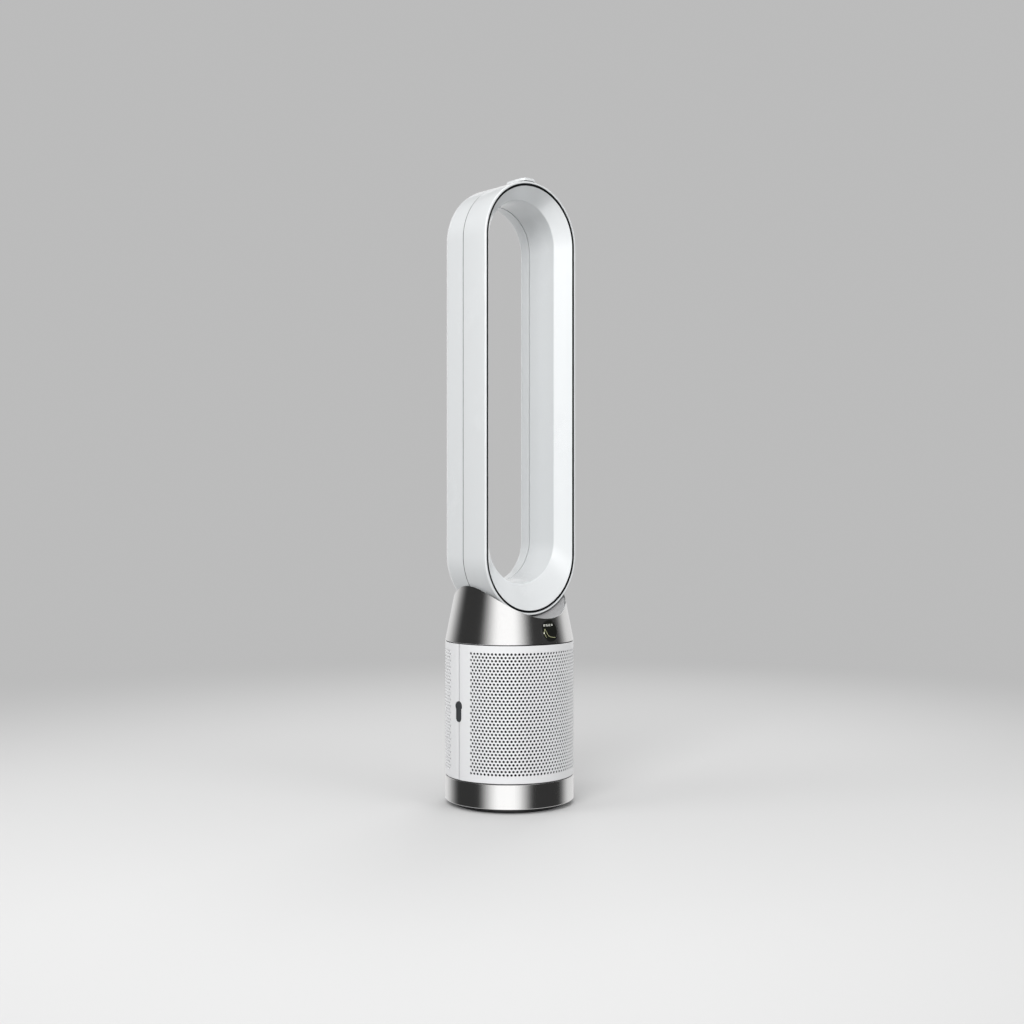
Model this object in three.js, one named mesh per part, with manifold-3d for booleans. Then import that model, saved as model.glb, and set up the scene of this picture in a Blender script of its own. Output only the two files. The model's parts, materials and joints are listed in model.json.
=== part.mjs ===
// Bladeless tower fan with air filter. Millimetres, +Z up, front towards -Y.
// The origin lies on the floor, on the axis of the round base.
import * as THREE from 'three';
import { mergeVertices } from 'three/addons/utils/BufferGeometryUtils.js';
import Module from 'manifold-3d';

const wasm = await Module();
wasm.setup();

// ---------------------------------------------------------------- driving dimensions
const TAU = 2 * Math.PI;
const GAP = 0.3; // clearance between pieces that touch
const BODY_RADIUS = 110; // base band, shrouds and foot of the collar
const BODY_SIDES = 48; // facets round the visible body
const CORE_SIDES = 26; // facets round inner pieces
const SMALL_SIDES = 18; // facets round the motor's pieces

const PAD = { inner: 82, outer: 95, height: 2.2 };
const PLINTH_RADIUS = 98;
const PLINTH_TOP = 9;
const BOSS_RADIUS = 24;
const BOSS_TOP = 12.6;
const CABLE_BORE = 10;
const TRAY_FLOOR = 9.3;
const TRAY_TOP = 12.3;
const TRAY_RIM_TOP = 18;
const BAND_BOTTOM = 8.3;
const BAND_TOP = 49;
const BAND_WALL = 1.5;
const BAND_EDGE = 0.7; // chamfer of the band's outer edges
const COVER_BOTTOM = 38.3; // plate of the fixed base that carries the turntable
const COVER_TOP = 41.3;
const RACE_RADII = [62, 82]; // where the turntable runs on its bearing ring
const RACE_TOP = 43.3;
const INLET = { halfWidth: 13, bottom: 13, top: 29, corner: 3 };
const DECK_BOTTOM = 45.6; // turntable plate under the filters
const DECK_TOP = 48.6;

const GEAR_MODULE = 1.92;
const SUN_TEETH = 30;
const PINION_TEETH = 10;
const GEAR_BOTTOM = BOSS_TOP + GAP;
const GEAR_FACE = 5;
const GEAR_CENTRES = GEAR_MODULE * (SUN_TEETH + PINION_TEETH) / 2 + 0.15;
const MOTOR = { radius: 21, bottom: 20.5, top: 37.5, flangeHalf: 32, legSpan: 26 };

const SHROUD_BOTTOM = 50.3;
const SHROUD_TOP = 276.7;
const SHROUD_WALL = 2.4;
const SEAM_HALF = 0.2; // half the hairline between the two shrouds

const BUTTON_BOSS = { radius: 8, height: 173.4 };
const BUTTON_TAIL = { radius: 6.8, height: 153.3 };
const BUTTON_INNER = 104;
const BUTTON_OUTER = 111.4;

const CAGE_RADIUS = 69;
const CAGE_WALL = 3;
const CAGE_TOP = 204;
const CAGE_WINDOWS = { rows: [[62, 124], [132, 194]], azimuths: [-54, 0, 54], halfWidth: 21 };
const SPINE = { inner: 69.5, outer: 102, head: 106.2, webHalf: 2.5, headHalf: 9 };
const FILTER = { inner: 84, outer: 103, reach: 81, bottom: 50.1, top: 268.5, cap: 3.5 };
const PLEATS = { folds: 18, reach: 77, peak: 100, valley: 87, paper: 1.8, heights: [58.3, 264.7] };
const CARBON_RADII = [72, 80.5];
const FRAME_BOTTOM = 269.9;
const FRAME_TOP = 276.4;

const COLLAR_BOTTOM = 278.3;
const COLLAR_TOP = 374.5;
const COLLAR_SLOPE = 0.2; // fall of the radius per millimetre of height
const COLLAR_WALL = 2;
const TROUGH_RADIUS = 104; // the saddle that the loop stands in
const DISPLAY_HEIGHT = 300;
const DISPLAY_RADIUS = 18.6;
const BEZEL_WIDTH = 0.9;
const NECK = { half: 40, corner: 12, heights: [300, 360] }; // the duct's way from collar to loop
const CRADLE_SHEET = 2.4;

const LOOP_RADIUS = 101; // half the outer width of the loop
const LOOP_LOW = 424; // centre of the bottom arc
const LOOP_HIGH = 953; // centre of the top arc
const THROAT_RADIUS = 72.5;
const THROAT_LOW = 447.5; // the throat's bottom arc is centred higher
const THROAT_HIGH = 954.5;
const FLARE_RADIUS = 93;
const LOOP_FRONT = -59;
const LOOP_BACK = 58;
const LOOP_WALL = 2.4;
const RIM_INNER = 97.3; // the casing's rim, round the gloss ring
const BACK_CORNER = 20;
const LIP_RADIUS = 78.4; // where the lip round the opening meets the back
const SLOT_RADIUS = 70.7; // the air slot, between the nozzle's end and the lip
const SLOT_NOZZLE = 29.4;
const SLOT_LIP = 31.4;
const ARC_STEPS = 16; // stations round each half circle of the loop

const REMOTE = { halfWidth: 15, front: -54, back: -6, corner: 8 };
const REMOTE_SEAT = LOOP_RADIUS + 0.4;
const REMOTE_SPLIT = 103;
const REMOTE_CROWN = 107.6;
const REMOTE_SPAN = [1040, 1070]; // heights that hold the whole remote

// ---------------------------------------------------------------- finishes
function finish(colour, roughness, metalness = 0) {
  return { color: colour, roughness, metalness };
}

const NICKEL = finish(0xb9bcc2, 0.28, 1);
const WHITE = finish(0xeef0f3, 0.38);
const PALE_GREY = finish(0xb4b8bf, 0.5);
const DARK_GREY = finish(0x3d3e40, 0.45);
const GLOSS_BLACK = finish(0x0f1113, 0.12);
const BLACK_PLASTIC = finish(0x1b1c1e, 0.55);
const RUBBER = finish(0x202022, 0.85);
const STEEL = finish(0xa6a8ab, 0.35, 1);
const BOARD_GREEN = finish(0x1f5a38, 0.6);
const FILTER_CLOTH = finish(0x343436, 0.95);
const CARBON = finish(0x242424, 0.95);
const ACETAL = finish(0xdad7cc, 0.5);

// ---------------------------------------------------------------- solids
/** Merges shared corners and leaves out triangles without area. */
function welded(geometry) {
  const bare = new THREE.BufferGeometry();
  bare.setAttribute('position', geometry.getAttribute('position'));
  if (geometry.index) bare.setIndex(geometry.index);
  const merged = mergeVertices(bare, 1e-4);
  const corners = merged.index.array;
  const kept = [];
  for (let i = 0; i < corners.length; i += 3) {
    const [a, b, c] = corners.slice(i, i + 3);
    if (a !== b && b !== c && c !== a) kept.push(a, b, c);
  }
  merged.setIndex(kept);
  return merged;
}

/** Turns a closed geometry into a solid with its faces pointing out. */
function solid(geometry) {
  const merged = welded(geometry);
  const vertProperties = new Float32Array(merged.getAttribute('position').array);
  const triVerts = new Uint32Array(merged.index.array);
  const body = new wasm.Manifold(new wasm.Mesh({ numProp: 3, vertProperties, triVerts }));
  if (body.volume() > 0) return body;
  triVerts.reverse();
  return new wasm.Manifold(new wasm.Mesh({ numProp: 3, vertProperties, triVerts }));
}

/** Gives a solid's triangles back as a geometry. */
function geometryOf(body) {
  const mesh = body.getMesh();
  const geometry = new THREE.BufferGeometry();
  geometry.setAttribute('position', new THREE.BufferAttribute(mesh.vertProperties, 3));
  geometry.setIndex(new THREE.BufferAttribute(mesh.triVerts, 1));
  geometry.computeVertexNormals();
  return geometry;
}

/** Turns a closed [radius, height] profile about the Z axis. */
function turned(profile, sides = CORE_SIDES) {
  const points = profile.map(([radius, height]) => new THREE.Vector2(radius, height));
  points.push(points[0].clone());
  return solid(new THREE.LatheGeometry(points, sides).rotateX(Math.PI / 2));
}

/** A box between two corners. */
function block([x0, x1], [y0, y1], [z0, z1]) {
  const geometry = new THREE.BoxGeometry(x1 - x0, y1 - y0, z1 - z0);
  return solid(geometry.translate((x0 + x1) / 2, (y0 + y1) / 2, (z0 + z1) / 2));
}

/** An upright round rod centred on (x, y). */
function rod(radius, [z0, z1], [x, y] = [0, 0], sides = 20) {
  const geometry = new THREE.CylinderGeometry(radius, radius, z1 - z0, sides);
  return solid(geometry.rotateX(Math.PI / 2).translate(x, y, (z0 + z1) / 2));
}

/** A round rod along Y, centred on height z. */
function rodAlongY(radius, [y0, y1], z, sides) {
  const geometry = new THREE.CylinderGeometry(radius, radius, y1 - y0, sides);
  return solid(geometry.translate(0, (y0 + y1) / 2, z));
}

/** A round rod through a point of the collar, square to its sloping front. */
function rodThroughCollar(radius, near, far, sides = SMALL_SIDES) {
  const tilt = Math.atan(COLLAR_SLOPE);
  const geometry = new THREE.CylinderGeometry(radius, radius, far - near, sides);
  geometry.translate(0, (near + far) / 2, 0).rotateX(Math.PI - tilt);
  const surface = collarRadius(DISPLAY_HEIGHT);
  return solid(geometry.translate(0, -surface, DISPLAY_HEIGHT));
}

/** Raises an outline, given as [x, y] points, from z0 to z1. */
function raised(outline, [z0, z1]) {
  const shape = new THREE.Shape(outline.map(([x, y]) => new THREE.Vector2(x, y)));
  const geometry = new THREE.ExtrudeGeometry(shape, { depth: z1 - z0, bevelEnabled: false });
  return solid(geometry.translate(0, 0, z0));
}

/** A point at a radius and an azimuth in degrees: 0 is the front, 90 is +X. */
function polar(radius, azimuth) {
  const angle = THREE.MathUtils.degToRad(azimuth);
  return [radius * Math.sin(angle), -radius * Math.cos(angle)];
}

/** An upright curved wall between two radii and two azimuths. */
function arcWall([inner, outer], [from, to], heights, steps) {
  const outline = [];
  for (let i = 0; i <= steps; i += 1) {
    outline.push(polar(outer, from + (to - from) * i / steps));
  }
  for (let i = steps; i >= 0; i -= 1) {
    outline.push(polar(inner, from + (to - from) * i / steps));
  }
  return raised(outline, heights);
}

/** A rectangle's outline with rounded corners. */
function roundedRectangle([x0, x1], [y0, y1], corner, steps = 3) {
  const centres = [
    [x1 - corner, y1 - corner],
    [x0 + corner, y1 - corner],
    [x0 + corner, y0 + corner],
    [x1 - corner, y0 + corner],
  ];
  const outline = [];
  centres.forEach(([x, y], quarter) => {
    for (let i = 0; i <= steps; i += 1) {
      const angle = (quarter + i / steps) * Math.PI / 2;
      outline.push([x + corner * Math.cos(angle), y + corner * Math.sin(angle)]);
    }
  });
  return outline;
}

function union(...bodies) {
  return bodies.reduce((whole, body) => whole.add(body));
}

/** Copies of a solid, made by a function of the index, joined into one. */
function repeated(count, make) {
  return union(...Array.from({ length: count }, (_, i) => make(i)));
}

// ---------------------------------------------------------------- foot and base
function footPad() {
  const { inner, outer, height } = PAD;
  return turned([[inner, 0], [outer, 0], [outer, height], [inner, height]]);
}

function footPlinth() {
  const edge = PLINTH_RADIUS;
  const bottom = PAD.height + GAP;
  const chamfer = 1.5;
  return turned([
    [CABLE_BORE, bottom],
    [edge, bottom],
    [edge, PLINTH_TOP - chamfer],
    [edge - chamfer, PLINTH_TOP],
    [BOSS_RADIUS, PLINTH_TOP],
    [BOSS_RADIUS, BOSS_TOP],
    [CABLE_BORE, BOSS_TOP],
  ]);
}

/** A low-friction ring between the fixed base and the turntable. */
function bearingRing() {
  const [inner, outer] = RACE_RADII;
  const bottom = COVER_TOP + GAP;
  return turned([[inner, bottom], [outer, bottom], [outer, RACE_TOP], [inner, RACE_TOP]], SMALL_SIDES);
}

/** A gear's outline: root and tip points of straight-sided teeth. */
function gearOutline(teeth, phase, [x, y]) {
  const pitch = GEAR_MODULE * teeth / 2;
  const root = pitch - 1.2 * GEAR_MODULE;
  const tip = pitch + 0.9 * GEAR_MODULE;
  const step = TAU / teeth;
  const [rootShare, tipShare] = [0.31, 0.1]; // half widths of a tooth, in pitches
  const stations = [[root, -rootShare], [tip, -tipShare], [tip, tipShare], [root, rootShare]];
  const outline = [];
  for (let tooth = 0; tooth < teeth; tooth += 1) {
    for (const [radius, share] of stations) {
      const angle = (tooth + phase + share) * step;
      outline.push([x + radius * Math.cos(angle), y + radius * Math.sin(angle)]);
    }
  }
  return outline;
}

/** The turntable's gear on its hollow hub, which lets the wiring through. */
function turntableGear() {
  const heights = [GEAR_BOTTOM, GEAR_BOTTOM + GEAR_FACE];
  const wall = 3.5;
  const bore = CABLE_BORE + 0.5;
  const hub = rod(bore + wall, [GEAR_BOTTOM, DECK_BOTTOM - GAP], [0, 0], 12);
  const hole = rod(bore, [GEAR_BOTTOM - 1, DECK_BOTTOM], [0, 0], 12);
  return raised(gearOutline(SUN_TEETH, 0, [0, 0]), heights).add(hub).subtract(hole);
}

/** The pinion on its shaft stub; a gap of its teeth faces the turntable gear. */
function oscillationPinion() {
  const top = GEAR_BOTTOM + GEAR_FACE;
  const outline = gearOutline(PINION_TEETH, 0.5, [GEAR_CENTRES, 0]);
  const teeth = raised(outline, [GEAR_BOTTOM, top]);
  const shaftEnd = MOTOR.bottom - GAP;
  return teeth.add(rod(3, [top - 1, shaftEnd], [GEAR_CENTRES, 0], 12));
}

/** Where the inlet's housing passes through a wall at the back. */
function inletGap(heights) {
  const half = INLET.halfWidth + 0.8;
  return block([-half, half], [80, 120], heights);
}

function baseTray() {
  const rim = BODY_RADIUS - BAND_WALL - 0.4;
  const wall = 2.2;
  const hole = BOSS_RADIUS + 1.5;
  const dish = turned([
    [hole, TRAY_FLOOR],
    [rim, TRAY_FLOOR],
    [rim, TRAY_RIM_TOP],
    [rim - wall, TRAY_RIM_TOP],
    [rim - wall, TRAY_TOP],
    [hole, TRAY_TOP],
  ]);
  return dish.subtract(inletGap([TRAY_TOP, 30]));
}

function baseBand() {
  const inner = BODY_RADIUS - BAND_WALL;
  const ring = turned([
    [inner, BAND_BOTTOM],
    [BODY_RADIUS - BAND_EDGE, BAND_BOTTOM],
    [BODY_RADIUS, BAND_BOTTOM + BAND_EDGE],
    [BODY_RADIUS, BAND_TOP - BAND_EDGE],
    [BODY_RADIUS - BAND_EDGE, BAND_TOP],
    [inner, BAND_TOP],
  ], BODY_SIDES);
  return ring.subtract(lyingAlongY(inletOutline(0.5), [100, 120]));
}

/** The inlet's face, grown by a margin, as [x, z] points. */
function inletOutline(margin) {
  const half = INLET.halfWidth + margin;
  return roundedRectangle([-half, half], [INLET.bottom - margin, INLET.top + margin], INLET.corner);
}

/** Raises an outline of [x, z] points along +Y. */
function lyingAlongY(outline, [y0, y1]) {
  const shape = new THREE.Shape(outline.map(([x, z]) => new THREE.Vector2(x, z)));
  const geometry = new THREE.ExtrudeGeometry(shape, { depth: y1 - y0, bevelEnabled: false });
  return solid(geometry.rotateX(Math.PI / 2).translate(0, y1, 0));
}

/** The fixed base's cover: a plate on a skirt that stands on the tray. */
function baseCover() {
  const rim = BODY_RADIUS - BAND_WALL - 0.4;
  const skirt = 2.4;
  const hole = 32;
  const foot = TRAY_RIM_TOP + GAP;
  const cover = turned([
    [hole, COVER_BOTTOM],
    [rim - skirt, COVER_BOTTOM],
    [rim - skirt, foot],
    [rim, foot],
    [rim, COVER_TOP],
    [hole, COVER_TOP],
  ]);
  return cover.subtract(inletGap([10, 30]));
}

/** The turntable plate that everything above the base stands on. */
function baseDeck() {
  const [raceInner, raceOuter] = RACE_RADII;
  const rim = BODY_RADIUS - BAND_WALL - 1;
  const foot = RACE_TOP + GAP;
  const hole = 12;
  return turned([
    [hole, DECK_BOTTOM],
    [raceInner, DECK_BOTTOM],
    [raceInner, foot],
    [raceOuter, foot],
    [raceOuter, DECK_BOTTOM],
    [rim, DECK_BOTTOM],
    [rim, DECK_TOP],
    [hole, DECK_TOP],
  ]);
}

/** A flat synchronous motor on two legs, over its pinion. */
function oscillationMotor() {
  const { radius, bottom, top, flangeHalf, legSpan } = MOTOR;
  const x = GEAR_CENTRES;
  const can = rod(radius, [bottom, top], [x, 0]);
  const plate = roundedRectangle([x - 7, x + 7], [-flangeHalf, flangeHalf], 6.5);
  const flange = raised(plate, [bottom, bottom + 2]);
  const legs = [-legSpan, legSpan].map((y) => rod(3, [TRAY_TOP + GAP, bottom + 0.5], [x, y], 12));
  return union(can, flange, ...legs);
}

/** A two-pin appliance inlet whose recess faces the back. */
function mainsInlet() {
  const face = BODY_RADIUS - 1;
  const middle = (INLET.bottom + INLET.top) / 2;
  const [pinSpan, lobeRadius, pinRadius] = [4.2, 4.6, 1.1];
  const round = (x, radius) => (
    roundedRectangle([x - radius, x + radius], [middle - radius, middle + radius], radius - 0.1)
  );
  const body = lyingAlongY(inletOutline(0), [88, face]);
  const lobes = [-pinSpan, pinSpan].map((x) => lyingAlongY(round(x, lobeRadius), [face - 12, face + 1]));
  const pins = [-pinSpan, pinSpan].map((x) => lyingAlongY(round(x, pinRadius), [face - 13, face - 3]));
  return union(body.subtract(union(...lobes)), ...pins);
}

function powerBoard() {
  const [under, top] = [18, 19.6];
  const board = block([-85, -38], [-22, 30], [under, top]);
  const legs = [[-81, -18], [-42, -18], [-42, 26], [-81, 26]].map((at) => (
    rod(2, [TRAY_TOP + GAP, under + 0.5], at, 8)
  ));
  const transformer = block([-74, -52], [-14, 8], [under + 1, 36]);
  const capacitors = [-66, -52].map((x) => rod(5, [under + 1, 34], [x, 20], 12));
  return union(board, transformer, ...capacitors, ...legs);
}

/** A particle sensor's box with its round sampling hole. */
function airQualitySensor() {
  const box = block([-22, 22], [-88, -56], [TRAY_TOP + GAP, 30]);
  return box.subtract(lyingAlongY(roundedRectangle([-7, 7], [16, 26], 4.5), [-90, -70]));
}

// ---------------------------------------------------------------- chassis, filters and shrouds
/** The open core that air is drawn into, with two rows of windows. */
function chassisCage() {
  const bottom = DECK_TOP + GAP;
  const inner = CAGE_RADIUS - CAGE_WALL;
  const wall = turned([
    [inner, bottom],
    [CAGE_RADIUS, bottom],
    [CAGE_RADIUS, CAGE_TOP],
    [inner, CAGE_TOP],
  ], SMALL_SIDES);
  const windows = CAGE_WINDOWS.rows.flatMap((heights) => (
    CAGE_WINDOWS.azimuths.map((azimuth) => cageWindow(azimuth, heights))
  ));
  return wall.subtract(union(...windows));
}

/** A bar through both sides of the cage, turned to an azimuth. */
function cageWindow(azimuth, heights) {
  const half = CAGE_WINDOWS.halfWidth;
  const reach = CAGE_RADIUS + 10;
  const angle = THREE.MathUtils.degToRad(azimuth);
  const geometry = new THREE.BoxGeometry(2 * half, 2 * reach, heights[1] - heights[0]);
  return solid(geometry.rotateZ(angle).translate(0, 0, (heights[0] + heights[1]) / 2));
}

/** The column beside the seam, which carries the button and the latch. */
function spine(side) {
  const { inner, outer, head, webHalf, headHalf } = SPINE;
  const half = [[inner, webHalf], [outer, webHalf], [outer, headHalf], [head, headHalf]];
  const mirrored = half.map(([x, y]) => [x, -y]).reverse();
  const outline = [...half, ...mirrored].map(([x, y]) => [side * x, y]);
  const column = raised(outline, [DECK_TOP + GAP, FRAME_BOTTOM - GAP]);
  const well = block([-3, 3], [-10, 10], [144, 184]).translate([side * (outer - 2), 0, 0]);
  return column.subtract(buttonSolid(side, [100, 112], 0.5)).subtract(well);
}

/** The plate that ties the spines together and carries the collar. */
function topFrame() {
  const [hole, rim, lip, lipTop] = [60, 107, 105, 288];
  const lipInner = lip - 2.5;
  return turned([
    [hole, FRAME_BOTTOM],
    [rim, FRAME_BOTTOM],
    [rim, FRAME_TOP],
    [lip, FRAME_TOP],
    [lip, lipTop],
    [lipInner, lipTop],
    [lipInner, FRAME_TOP],
    [hole, FRAME_TOP],
  ]);
}

/** Turns a front piece into the one at the back. */
function atBack(body) {
  return solid(geometryOf(body).rotateZ(Math.PI));
}

/** Accordion folds of filter paper between two radii. */
function filterPleats() {
  const { folds, reach, peak, valley, paper, heights } = PLEATS;
  const creases = Array.from({ length: 2 * folds + 1 }, (_, i) => ({
    radius: i % 2 ? valley : peak,
    azimuth: reach * (i / folds - 1),
  }));
  const outer = creases.map(({ radius, azimuth }) => polar(radius, azimuth));
  const inner = creases.map(({ radius, azimuth }) => polar(radius - paper, azimuth));
  return raised([...outer, ...inner.reverse()], heights);
}

/** The filter's end caps and side rails. */
function filterFrame() {
  const { inner, outer, reach, bottom, top, cap } = FILTER;
  const radii = [inner, outer];
  const [lowCapTop, highCapBottom] = [PLEATS.heights[0] - GAP, top - cap];
  const railSpan = 2.6; // degrees
  const caps = [[bottom, lowCapTop], [highCapBottom, top]].map((heights) => (
    arcWall(radii, [-reach, reach], heights, 12)
  ));
  const rails = [[-reach, -reach + railSpan], [reach - railSpan, reach]].map((span) => (
    arcWall(radii, span, [lowCapTop - 1, highCapBottom + 1], 1)
  ));
  return union(...caps, ...rails);
}

function carbonHalf() {
  const reach = FILTER.reach + 2;
  return arcWall(CARBON_RADII, [-reach, reach], [FILTER.bottom, FILTER.top - 1.5], 12);
}

/** The keyhole outline: a round boss over a narrower tail, grown by a margin. */
function keyhole(margin) {
  const steps = 7;
  const rise = BUTTON_BOSS.height - BUTTON_TAIL.height;
  const bossRadius = BUTTON_BOSS.radius + margin;
  const tailRadius = BUTTON_TAIL.radius + margin;
  const lean = Math.asin(tailRadius / bossRadius);
  const outline = [];
  for (let i = 0; i <= steps; i += 1) {
    const angle = -Math.PI / 2 + lean + (TAU - 2 * lean) * i / steps;
    outline.push([bossRadius * Math.cos(angle), BUTTON_BOSS.height + bossRadius * Math.sin(angle)]);
  }
  for (let i = 0; i <= steps; i += 1) {
    const angle = Math.PI + Math.PI * i / steps;
    outline.push([tailRadius * Math.cos(angle), BUTTON_BOSS.height - rise + tailRadius * Math.sin(angle)]);
  }
  return outline;
}

/** A keyhole-shaped prism between two distances from the axis, on one side. */
function buttonSolid(side, [x0, x1], margin) {
  const shape = new THREE.Shape(keyhole(margin).map(([y, z]) => new THREE.Vector2(y, z)));
  const geometry = new THREE.ExtrudeGeometry(shape, { depth: x1 - x0, bevelEnabled: false });
  geometry.rotateX(Math.PI / 2).rotateZ(Math.PI / 2);
  return solid(geometry.translate(side > 0 ? x0 : -x1, 0, 0));
}

function releaseButton(side) {
  return buttonSolid(side, [BUTTON_INNER, BUTTON_OUTER], 0);
}

/** Half of the outer cylinder, notched where the buttons come through. */
function shroudHalf() {
  const seam = THREE.MathUtils.radToDeg(SEAM_HALF / BODY_RADIUS);
  const radii = [BODY_RADIUS - SHROUD_WALL, BODY_RADIUS];
  const wall = arcWall(radii, [-90 + seam, 90 - seam], [SHROUD_BOTTOM, SHROUD_TOP], BODY_SIDES / 2);
  const notches = [-1, 1].map((side) => buttonSolid(side, [100, 120], GAP));
  return wall.subtract(union(...notches));
}

// ---------------------------------------------------------------- air mover
const IMPELLER_BOTTOM = 217;
const IMPELLER_TOP = 252;
const SHAFT_RADIUS = 4;
const SHAFT_TOP = 301;
const HOUSING_BOTTOM = 213;
const HOUSING_INNER = 55.2;
const HOUSING_TOP = 300;
const HOUSING_WALL = 2.2;
const CAN = { radius: 35, bottom: 258, top: 299, seatRadius: 9.6, seatDepth: 5.6, bore: 5 };

function inletBellmouth() {
  return turned([[41, 208], [44, 204.6], [58, 204.6], [58, 207], [43.4, 211], [41, 211]], SMALL_SIDES);
}

function impellerHousing() {
  const throat = 41.5;
  const coneTop = 250;
  const outer = HOUSING_INNER + HOUSING_WALL;
  return turned([
    [throat, HOUSING_BOTTOM],
    [HOUSING_INNER, coneTop],
    [HOUSING_INNER, HOUSING_TOP],
    [outer, HOUSING_TOP],
    [outer, coneTop - 1],
    [throat + HOUSING_WALL + 0.1, HOUSING_BOTTOM],
  ], SMALL_SIDES);
}

/** One twisted blade, as a strip of sections from the hub out to the tip. */
function blade({ heights, hub, tip, sweep, thickness, start, sections }) {
  const positions = [];
  for (let i = 0; i <= sections; i += 1) {
    const share = i / sections;
    const z = THREE.MathUtils.lerp(heights[0], heights[1], share);
    const middle = start + sweep * share ** 0.8;
    for (const [radius, side] of [[hub(share), -1], [hub(share), 1], [tip(share), 1], [tip(share), -1]]) {
      const angle = middle + side * thickness / (2 * radius);
      positions.push(radius * Math.cos(angle), radius * Math.sin(angle), z);
    }
  }
  const faces = [0, 1, 2, 0, 2, 3];
  for (let i = 0; i < sections; i += 1) {
    for (let k = 0; k < 4; k += 1) {
      const [a, b] = [4 * i + k, 4 * i + (k + 1) % 4];
      // the last side is split the other way, so that both faces of the blade share a diagonal
      if (k < 3) faces.push(a, a + 4, b, b, a + 4, b + 4);
      else faces.push(a, a + 4, b + 4, a, b + 4, b);
    }
  }
  const last = 4 * sections;
  faces.push(last, last + 2, last + 1, last, last + 3, last + 2);
  const geometry = new THREE.BufferGeometry();
  geometry.setAttribute('position', new THREE.Float32BufferAttribute(positions, 3));
  geometry.setIndex(faces);
  return solid(geometry);
}

/** A mixed-flow wheel: a cone hub with swept blades. */
function impeller() {
  const count = 7;
  const hub = turned([
    [SHAFT_RADIUS + GAP, IMPELLER_BOTTOM],
    [13, IMPELLER_BOTTOM],
    [18, 223],
    [34, 246],
    [36, IMPELLER_TOP],
    [SHAFT_RADIUS + GAP, IMPELLER_TOP],
  ], SMALL_SIDES);
  const blades = repeated(count, (i) => blade({
    heights: [219, 250.5],
    hub: (share) => 12 + 20 * share,
    tip: (share) => 39.5 + 14 * share,
    sweep: 1.1,
    thickness: 2,
    start: TAU * i / count,
    sections: 3,
  }));
  return hub.add(blades);
}

function motorShaft() {
  return rod(SHAFT_RADIUS, [IMPELLER_BOTTOM + 2, SHAFT_TOP], [0, 0], 12);
}

/** Fixed vanes that straighten the air, on a thin hub shell. */
function diffuser() {
  const count = 7;
  const shell = turned([[36, 255], [38.4, 255], [38.4, 298], [36, 298]], SMALL_SIDES);
  const vanes = repeated(count, (i) => blade({
    heights: [257, 292],
    hub: () => 37.4,
    tip: () => HOUSING_INNER - 1.4,
    sweep: -0.5,
    thickness: 1.8,
    start: TAU * i / count,
    sections: 2,
  }));
  return shell.add(vanes);
}

function motorCan() {
  const { radius, bottom, top, seatRadius, seatDepth, bore } = CAN;
  return turned([
    [bore, bottom + seatDepth],
    [seatRadius, bottom + seatDepth],
    [seatRadius, bottom],
    [radius, bottom],
    [radius, top],
    [seatRadius, top],
    [seatRadius, top - seatDepth],
    [bore, top - seatDepth],
  ], 16);
}

/** A bearing in the seat at one end of the motor's can. */
function bearing(end) {
  const length = CAN.seatDepth - 2 * GAP;
  const bottom = end === 'lower' ? CAN.bottom + GAP : CAN.top - GAP - length;
  const [inner, outer] = [SHAFT_RADIUS + GAP, CAN.seatRadius - GAP];
  return turned([[inner, bottom], [outer, bottom], [outer, bottom + length], [inner, bottom + length]], 12);
}

function isolatorRing() {
  return turned([[58.1, 268], [59.3, 268], [59.3, 279], [58.1, 279]]);
}

// ---------------------------------------------------------------- collar
function collarRadius(z) {
  return BODY_RADIUS - COLLAR_SLOPE * (z - COLLAR_BOTTOM);
}

/** The cone between two depths under the collar's face. */
function collarCone(outside, inside) {
  return turned([
    [collarRadius(COLLAR_BOTTOM) - inside, COLLAR_BOTTOM],
    [collarRadius(COLLAR_BOTTOM) - outside, COLLAR_BOTTOM],
    [collarRadius(COLLAR_TOP) - outside, COLLAR_TOP],
    [collarRadius(COLLAR_TOP) - inside, COLLAR_TOP],
  ], BODY_SIDES);
}

function troughRod(radius) {
  return rodAlongY(radius, [-125, 125], LOOP_LOW, BODY_SIDES);
}

function collarSkin() {
  const hole = rodThroughCollar(DISPLAY_RADIUS, -20, 20);
  return collarCone(0, COLLAR_WALL).subtract(troughRod(TROUGH_RADIUS)).subtract(hole);
}

/** The opening that the neck comes through, as an upright prism. */
function neckPrism(margin) {
  const half = NECK.half + margin;
  return raised(roundedRectangle([-half, half], [-half, half], NECK.corner + margin), NECK.heights);
}

/** The curved floor inside the collar that the loop stands over. */
function cradle() {
  const sheet = troughRod(TROUGH_RADIUS + CRADLE_SHEET).subtract(troughRod(TROUGH_RADIUS));
  return sheet.intersect(insideCollar()).subtract(neckPrism(2));
}

/** Everything inside the collar's skin, up to the height of its peaks. */
function insideCollar() {
  const margin = COLLAR_WALL + GAP;
  const core = 0.01; // a profile that meets the axis would have facets without area
  return turned([
    [core, COLLAR_BOTTOM],
    [collarRadius(COLLAR_BOTTOM) - margin, COLLAR_BOTTOM],
    [collarRadius(COLLAR_TOP) - margin, COLLAR_TOP],
    [core, COLLAR_TOP],
  ]);
}

/** The duct that carries the air from the housing up into the loop. */
function neckDuct() {
  const stations = [[56, HOUSING_TOP + 1], [48, 311], [38, 321], [38, 336]];
  const inner = stations.map(([half, z]) => [half - HOUSING_WALL, z]).reverse();
  return lofted([...stations, ...inner], SMALL_SIDES);
}

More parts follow.
